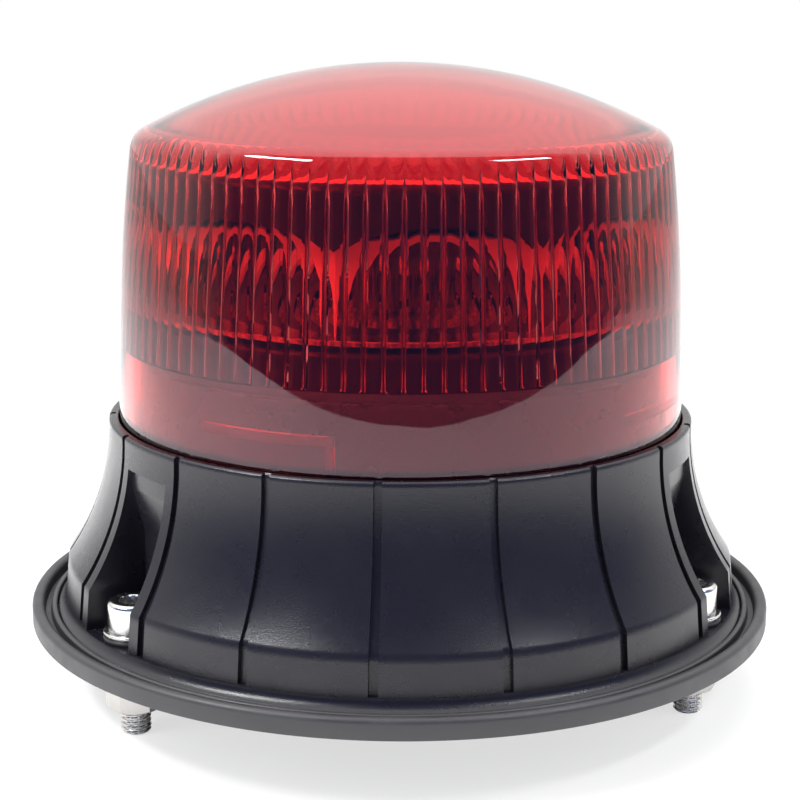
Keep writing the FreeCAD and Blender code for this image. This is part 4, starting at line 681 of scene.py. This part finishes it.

# Rotor hood
# A black moulded cap over the crown, with a thin light plate on top that paints light seen over
# the hood through the lens. Its skirt is scalloped, high over each scoop and low between them,
# and one screw through its boss clamps it to the spindle.

HOOD_OUT = 49.4
HOOD_BORE = HOOD_OUT - 2.0
HOOD_TOP = 95.2
HOOD_CEILING = 93.2
HOOD_TIP = 82.6
SCALLOP = 4.4
SCREW_HOLE = 2.2
PLATE_IN = 4.4
PLATE_OUT = 46.6
PLATE_LOW = HOOD_TOP - 0.2
PLATE_TOP = HOOD_TOP + 0.06


def hood_solid():
    """Cap of revolution; the skirt ends on a circle of large radius centred below each scoop."""
    angles = scoop_angles()
    half_chord = HOOD_OUT * math.sin(math.radians(SECTOR / 2))
    bend = (half_chord ** 2 + SCALLOP ** 2) / (2 * SCALLOP)
    across = HOOD_OUT * np.sin(to_scoop(angles))
    edge = HOOD_TIP + SCALLOP - bend + np.sqrt(bend ** 2 - across ** 2)
    rows = [(HOOD_BORE, edge + 0.3), (HOOD_BORE + 0.3, edge), (HOOD_OUT - 0.3, edge),
            (HOOD_OUT, edge + 0.3)]
    # The first corner only leads the outline up to the top and is dropped again.
    rows += rounded([
        (HOOD_OUT, HOOD_TIP, 0.0), (HOOD_OUT, HOOD_TOP, 2.4), (SCREW_HOLE, HOOD_TOP, 0.3),
        (SCREW_HOLE, HUB_TOP, 0.1), (HUB, HUB_TOP, 0.3), (HUB, HOOD_CEILING, 0.8),
        (HOOD_BORE, HOOD_CEILING, 1.0)], 6)[1:]
    return stack(rows, np.radians(angles))


hood_black = pebbled_plastic("hood_black", (0.010, 0.009, 0.011), (0.018, 0.017, 0.020), 0.28, 0.38)
place("hood_cap", hood_solid(), "rotor", hood_black, ["rotor_hood"])
plate_outline = rounded([(PLATE_IN, PLATE_LOW, 0.0), (PLATE_OUT, PLATE_LOW, 0.0),
                         (PLATE_OUT, PLATE_TOP, 0.05), (PLATE_IN, PLATE_TOP, 0.05)], 2)
# The hood plate's light satin is painted light over the hood's top, seen through the lens.
place("hood_plate", lathe(plate_outline, 144), "rotor", painted_light_satin("painted_light_plate"))

# Lens
# One clear red moulding: a plain skirt with bayonet lugs, a wall that draws in slightly with
# upright flutes inside it, a rounded shoulder and a shallow dome.

LENS_OUT = 59.2
LENS_WALL = 2.6
LENS_LOW = 36.2
SKIRT_BORE = LENS_OUT - LENS_WALL
DRAW_START = 42.0
SHOULDER = (55.3, 100.6)
SHOULDER_ROUND = 1.8
DOME_BEND = 112.0
DOME_WALL = 3.0
FLUTES = 96
FLUTE_LOW = 58.4
FLUTE_DEPTH = 1.0
FLUTE_RISE = 4.5
TOOTH = 2.4
CORNER = 6.0
CORNER_TURN = math.radians(63.0)
CORNER_LOW = 94.7
DRAW_IN = LENS_OUT - SHOULDER[0]
DRAW_BEND = ((SHOULDER[1] - DRAW_START) ** 2 + DRAW_IN ** 2) / (2 * DRAW_IN)
DOME_MIDDLE = SHOULDER[1] - math.sqrt(DOME_BEND ** 2 - SHOULDER[0] ** 2)
LUG_IN = 55.4
LUG = (37.4, 39.8)
LUG_SPAN = 22.0
GUIDE = (47.9, 49.7)
GUIDE_SPAN = 28.5


def lens_wall(z):
    """Outside radius of the wall at height z: a circle of DRAW_BEND, upright at DRAW_START."""
    return LENS_OUT - DRAW_BEND + math.sqrt(DRAW_BEND ** 2 - max(z - DRAW_START, 0.0) ** 2)


def on_dome(radii, bend):
    """Points (radius, height) on a circle of radius bend round DOME_MIDDLE on the axis."""
    return [(r, DOME_MIDDLE + math.sqrt(bend ** 2 - r ** 2)) for r in radii]


def lens_outside():
    """Rows from the rim up to the pole: skirt, wall, a parabola round the shoulder, and dome."""
    rows = [(SKIRT_BORE, LENS_LOW + 0.3), (SKIRT_BORE + 0.3, LENS_LOW), (LENS_OUT - 0.4, LENS_LOW),
            (LENS_OUT, LENS_LOW + 0.4), (LENS_OUT, 39.0)]
    wall_top = SHOULDER[1] - SHOULDER_ROUND - 1.0
    rows += [(lens_wall(z), z) for z in np.linspace(DRAW_START, wall_top, 14)]
    dome_start = SHOULDER[0] - SHOULDER_ROUND * 1.15
    low = np.array([lens_wall(wall_top), wall_top])
    knee = np.array(SHOULDER)
    high = np.array(on_dome([dome_start], DOME_BEND)[0])
    rows += [(1 - t) ** 2 * low + 2 * t * (1 - t) * knee + t ** 2 * high
             for t in np.linspace(0, 1, 14)[1:-1]]
    return rows + on_dome([*np.linspace(dome_start, 4.0, 16), 1.5, 0.0], DOME_BEND)


def lens_solid():
    """Shell from the pole under the dome down the inner wall, round the rim and up to the top.

    A flute rises from its middle to the sharp ridges beside it as the distance aside to the power
    FLUTE_RISE. At its top the ridges fade into a round that carries the wall into the dome and
    reaches lower at them.
    """
    half = np.array([0.0, 0.3, 0.55, 0.75, 0.88, 0.96])
    places = np.concatenate([half, 2.0 - np.append(half[1:], 1.0)[::-1]])
    angles = ((np.arange(FLUTES)[:, None] * 2 + places) * math.pi / FLUTES).ravel()
    aside = np.tile(np.minimum(places, 2.0 - places), FLUTES)
    ridge = FLUTE_DEPTH * aside ** FLUTE_RISE
    root_high = lens_wall(CORNER_LOW) - LENS_WALL
    root_low = lens_wall(FLUTE_LOW) - LENS_WALL
    corner_end = root_high - CORNER * (1 - math.cos(CORNER_TURN))
    rows = on_dome([0.0, 1.5, *np.linspace(4.0, corner_end - 1.0, 10)], DOME_BEND - DOME_WALL)
    for turn in np.linspace(CORNER_TURN, 0.0, 10):
        fade = (1 - turn / CORNER_TURN) ** 2
        rows.append((root_high - CORNER * (1 - math.cos(turn)) - ridge * fade,
                     CORNER_LOW + CORNER * math.sin(turn) - TOOTH * aside * fade))
    for z in np.linspace(CORNER_LOW, FLUTE_LOW, 8)[1:]:
        share = (z - FLUTE_LOW) / (CORNER_LOW - FLUTE_LOW)
        root = root_low + (root_high - root_low) * share
        rows.append((root - ridge, z - TOOTH * aside * share))
    rows += [(SKIRT_BORE - 0.3, FLUTE_LOW - 0.05), (SKIRT_BORE, FLUTE_LOW - 0.35),
             (SKIRT_BORE, 50.0), (SKIRT_BORE, 42.0)]
    return stack(rows + lens_outside(), angles, poles=True)


def lens_ribs():
    """Bayonet lug, guide rib above it and the stop between them, four times round the skirt."""
    ribs = []
    for lock in LOCKS:
        ribs += [ledge_block(LUG_IN, SKIRT_BORE + 0.2, *LUG, lock - LUG_SPAN, lock),
                 ledge_block(LUG_IN, SKIRT_BORE + 0.2, *GUIDE, lock - GUIDE_SPAN, lock),
                 ledge_block(LUG_IN, SKIRT_BORE + 0.2, LUG[1], GUIDE[0], lock - STOP_SPAN, lock, 4)]
    return ribs


def blended(tree, share, first, second):
    """Shader that is the first where the share is 0 and the second where it is 1."""
    mix = node(tree, "ShaderNodeMixShader", Fac=share)
    tree.links.new(first, mix.inputs[1])
    tree.links.new(second, mix.inputs[2])
    return mix.outputs["Shader"]


def red_glass(name, tint):
    """Clear red moulding: smooth glass tinted on the way through, which lets lamps shine in."""
    made, tree, shader = finish_of(name, tint, 0.02, Transmission_Weight=1.0, IOR=1.5,
                                   Specular_IOR_Level=0.5, Specular_Tint=(1.0, 0.86, 1.0, 1.0))
    grain = use(tree, GRAIN, Size=22.0, Depth=0.05)
    tree.links.new(grain.outputs["Normal"], shader.inputs["Normal"])
    path = node(tree, "ShaderNodeLightPath")
    clear = node(tree, "ShaderNodeBsdfTransparent", Color=(*[c ** 0.5 for c in tint], 1.0))
    surface = blended(tree, path.outputs["Is Shadow Ray"], shader.outputs["BSDF"],
                      clear.outputs["BSDF"])
    tree.links.new(surface, tree.nodes["Material Output"].inputs["Surface"])
    return made


lens_red = red_glass("lens_red", (0.70, 0.10, 0.09))
lens_parts = joined([lens_solid(), *lens_ribs()])
place("lens_cover", lens_parts, "lens_body", lens_red, ["lens"], crease=20)

# Small pieces from the frame
# The seal, boards, gears, motor, bushes and screws keep the shapes they were built with and
# each gets the finish of its own stuff.


def dress(slot_name, made):
    """Gives the finish to every CAD node of a material slot."""
    for part in frame["record"]["subparts"]:
        if part["material_slot"] == slot_name:
            shape = frame["nodes"][part["node"]]
            shape.data.materials.clear()
            shape.data.materials.append(made)


def plain_plastic(name, colour, low, high, mottle=0.8):
    """Moulded plastic or lacquer of one colour with a little mottling and fine grain."""
    made, tree, shader = finish_of(name, colour, low)
    sheen = use(tree, HANDLING, Size=7.0, Low=low, High=high)
    grain = use(tree, GRAIN, Size=0.6, Depth=0.01)
    dark = [c * mottle for c in colour]
    coat(tree, shader, sheen.outputs["Tone"], dark, colour, sheen, grain)
    return made


dress("gasket_rubber", gasket_rubber)
dress("housing_black", housing_black)
dress("chassis_black", chassis_black)
for metal, *values in [
        ("heat_sink_aluminium", (0.68, 0.69, 0.7), 0.3, 0.42, 0.85),
        ("bush_bronze", (0.5, 0.3, 0.13), 0.35, 0.5, 0.7),
        ("motor_steel", (0.6, 0.6, 0.6), 0.25, 0.4, 0.85),
        ("shaft_steel", (0.62, 0.62, 0.62), 0.18, 0.3, 0.85),
        ("screw_steel", (0.6, 0.6, 0.58), 0.25, 0.4, 0.8)]:
    dress(metal, turned_metal(metal, *values))
for plastic, *values in [
        ("board_green", (0.02, 0.11, 0.05), 0.3, 0.45),
        ("board_white", (0.72, 0.72, 0.68), 0.35, 0.5),
        ("diode", (0.75, 0.62, 0.2), 0.2, 0.3),
        ("gear_white", (0.75, 0.73, 0.66), 0.35, 0.5, 0.92),
        ("vent_grey", (0.1, 0.1, 0.105), 0.45, 0.6),
        ("terminal_green", (0.03, 0.2, 0.08), 0.35, 0.5),
        ("capacitor_sleeve", (0.02, 0.02, 0.03), 0.2, 0.35),
        ("inductor_core", (0.05, 0.05, 0.05), 0.5, 0.65),
        ("chip_black", (0.015, 0.015, 0.015), 0.4, 0.55)]:
    dress(plastic, plain_plastic(plastic, *values))

# Studio
# The floor the bolts stand on, a white room with a dark screen in front that paints a dark
# reflection, soft panels of light beside and above, and the camera. Lengths here are in metres.

FLOOR = BOLT_TIP * MM
FLOOR_RADIUS = 6.0
FLOOR_SIDES = 64


def backdrop(name, points, faces, material):
    """Object of the studio with one material."""
    mesh = bpy.data.meshes.new(name)
    mesh.from_pydata(points.tolist(), [], faces)
    mesh.materials.append(material)
    made = bpy.data.objects.new(name, mesh)
    bpy.context.scene.collection.objects.link(made)
    return made


def pale_floor():
    """Pale floor, which for the camera alone fades to plain white away from the object."""
    made, tree, shader = finish_of("pale_floor", (0.86, 0.86, 0.86), 0.6)
    away = node(tree, "ShaderNodeVectorMath", {"operation": "LENGTH"})
    tree.links.new(node(tree, "ShaderNodeTexCoord").outputs["Object"], away.inputs[0])
    fade = node(tree, "ShaderNodeMapRange", Value=away.outputs["Value"], From_Min=0.07,
                From_Max=0.2, To_Min=0.65)
    path = node(tree, "ShaderNodeLightPath")
    seen = maths(tree, "MULTIPLY", fade.outputs["Result"], path.outputs["Is Camera Ray"])
    white = node(tree, "ShaderNodeEmission")
    surface = blended(tree, seen, shader.outputs["BSDF"], white.outputs["Emission"])
    tree.links.new(surface, tree.nodes["Material Output"].inputs["Surface"])
    return made


ring = np.linspace(0, 2 * math.pi, FLOOR_SIDES, endpoint=False)
floor_points = np.stack([FLOOR_RADIUS * np.cos(ring), FLOOR_RADIUS * np.sin(ring),
                         np.full(FLOOR_SIDES, FLOOR)], 1)
floor = backdrop("floor", floor_points, [list(range(FLOOR_SIDES))], pale_floor())


def studio_world():
    """White room: gloss sees it brighten to a soft box overhead, as 1 + 2.4 (height - 0.1) squared.

    The camera and glass see plain white, and surfaces get an even, gentler light.
    """
    world = bpy.data.worlds.new("studio")
    world.use_nodes = True
    tree = world.node_tree
    path = node(tree, "ShaderNodeLightPath")
    even = node(tree, "ShaderNodeMapRange", Value=path.outputs["Is Diffuse Ray"], To_Min=1.0,
                To_Max=0.5)
    way = node(tree, "ShaderNodeTexCoord").outputs["Generated"]
    split = node(tree, "ShaderNodeSeparateXYZ", Vector=way)
    height = node(tree, "ShaderNodeMapRange", Value=split.outputs["Z"], From_Min=0.1, From_Max=1.0,
                  To_Max=1.4).outputs["Result"]
    square = maths(tree, "MULTIPLY", height, height)
    gloss = maths(tree, "MULTIPLY", square, path.outputs["Is Glossy Ray"])
    back = tree.nodes["Background"]
    back.inputs["Color"].default_value = (1.0, 1.0, 1.0, 1.0)
    tree.links.new(maths(tree, "ADD", even.outputs["Result"], gloss), back.inputs["Strength"])
    bpy.context.scene.world = world


SCREEN_WIDE = 0.8
SCREEN_DEEP = 0.35
SCREEN_MIDDLE = -0.06
SCREEN_ENDS = (-125.0, 108.0)
SCREEN_TOP = 1.2
SCREEN_COLUMNS = 49


def painted_dark_reflection(name, colour):
    """Dim blue screen that only reflections show, a painted dark reflection. It fades out towards
    its two ends.

    Reflections from inside the lens show only its middle, so the sides of the rotor stay light.
    """
    made = bpy.data.materials.new(name)
    made.use_nodes = True
    tree = made.node_tree
    tree.nodes.clear()
    path = node(tree, "ShaderNodeLightPath")
    mirrored = maths(tree, "MINIMUM", path.outputs["Glossy Depth"], 1.0)
    spot = node(tree, "ShaderNodeTexCoord").outputs["Object"]
    split = node(tree, "ShaderNodeSeparateXYZ", Vector=spot)
    width = maths(tree, "ABSOLUTE", split.outputs["X"])
    side = node(tree, "ShaderNodeMapRange", Value=width, From_Min=0.4, From_Max=0.5)
    inside = maths(tree, "MULTIPLY", path.outputs["Transmission Depth"], side.outputs["Result"],
                   use_clamp=True)
    middle = maths(tree, "SUBTRACT", mirrored, inside, use_clamp=True)
    ends = node(tree, "ShaderNodeMapRange", Value=split.outputs["Y"], From_Min=-0.2, From_Max=0.12)
    shows = maths(tree, "SUBTRACT", middle, ends.outputs["Result"], use_clamp=True)
    clear = node(tree, "ShaderNodeBsdfTransparent")
    painted_dark = node(tree, "ShaderNodeEmission", Color=(*colour, 1.0))
    surface = blended(tree, shows, clear.outputs["BSDF"], painted_dark.outputs["Emission"])
    node(tree, "ShaderNodeOutputMaterial", Surface=surface)
    return made


def dark_flag():
    """Curved screen in front, upright on half an ellipse, seen only in gloss: a painted dark
    reflection standing for the dark side of the room.
    """
    turn = np.radians(np.linspace(*SCREEN_ENDS, SCREEN_COLUMNS))
    plan = [SCREEN_WIDE * np.sin(turn), SCREEN_MIDDLE - SCREEN_DEEP * np.cos(turn)]
    points = np.vstack([np.stack([*plan, np.full(SCREEN_COLUMNS, height)], 1)
                        for height in (FLOOR, SCREEN_TOP)])
    faces = [[i, i + 1, i + SCREEN_COLUMNS + 1, i + SCREEN_COLUMNS]
             for i in range(SCREEN_COLUMNS - 1)]
    # The screen's dim blue is a painted dark reflection; nothing but glossy rays see it.
    flag = backdrop("dark_flag", points, faces, painted_dark_reflection("dark_flag", (0.06, 0.12, 0.34)))
    flag.visible_diffuse = False
    flag.visible_shadow = False
    flag.visible_camera = False


PANEL_TARGET = np.array([0.0, 0.0, 0.05])


def panel(name, spot, size, watts, mirrored=True):
    """Soft rectangular lamp aimed at the object, with or without its picture in glossy surfaces."""
    lamp = bpy.data.lights.new(name, "AREA")
    lamp.shape = "RECTANGLE"
    lamp.size, lamp.size_y = size
    lamp.energy = watts
    made = bpy.data.objects.new(name, lamp)
    made.location = spot
    way = PANEL_TARGET - np.array(spot)
    yaw = math.atan2(way[1], way[0]) - math.pi / 2
    tilt = math.atan2(way[2], math.hypot(way[0], way[1])) + math.pi / 2
    made.rotation_euler = (tilt, 0.0, yaw)
    made.visible_glossy = mirrored
    made.visible_transmission = False
    bpy.context.scene.collection.objects.link(made)


studio_world()
dark_flag()
panel("left_panel", (-0.75, -0.35, 0.35), (0.5, 0.7), 6.0, mirrored=False)
panel("right_panel", (0.8, -0.25, 0.3), (0.5, 0.7), 5.0, mirrored=False)
panel("top_panel", (0.0, 0.1, 0.8), (0.8, 0.5), 8.0, mirrored=False)
panel("left_strip", (-0.46, -0.2, 0.55), (0.32, 0.06), 5.0)
panel("right_strip", (0.36, -0.33, 0.55), (0.36, 0.06), 2.5)

CAMERA_AWAY = 0.3805
CAMERA_HEIGHT = 0.1299
CAMERA_TURN = math.radians(-6.2)
CAMERA_PITCH = math.radians(12.76)
CAMERA_ROLL = math.radians(-0.27)
FOCAL_PIXELS = 1829.0
FRAME_PIXELS = 800.0
SENSOR = 36.0
CENTRE_PIXEL = (402.4, 402.4)
camera_data = bpy.data.cameras.new("camera")
camera_data.sensor_width = SENSOR
camera_data.lens = FOCAL_PIXELS / FRAME_PIXELS * SENSOR
camera_data.shift_x = (FRAME_PIXELS / 2 - CENTRE_PIXEL[0]) / FRAME_PIXELS
camera_data.shift_y = (CENTRE_PIXEL[1] - FRAME_PIXELS / 2) / FRAME_PIXELS
camera_data.clip_start = 0.01
camera = bpy.data.objects.new("camera", camera_data)
camera.location = (CAMERA_AWAY * math.sin(CAMERA_TURN), -CAMERA_AWAY * math.cos(CAMERA_TURN),
                   CAMERA_HEIGHT)
camera.rotation_euler = (math.pi / 2 - CAMERA_PITCH, CAMERA_ROLL, CAMERA_TURN)
bpy.context.scene.collection.objects.link(camera)
bpy.context.scene.camera = camera
bpy.context.scene.view_settings.view_transform = "Standard"
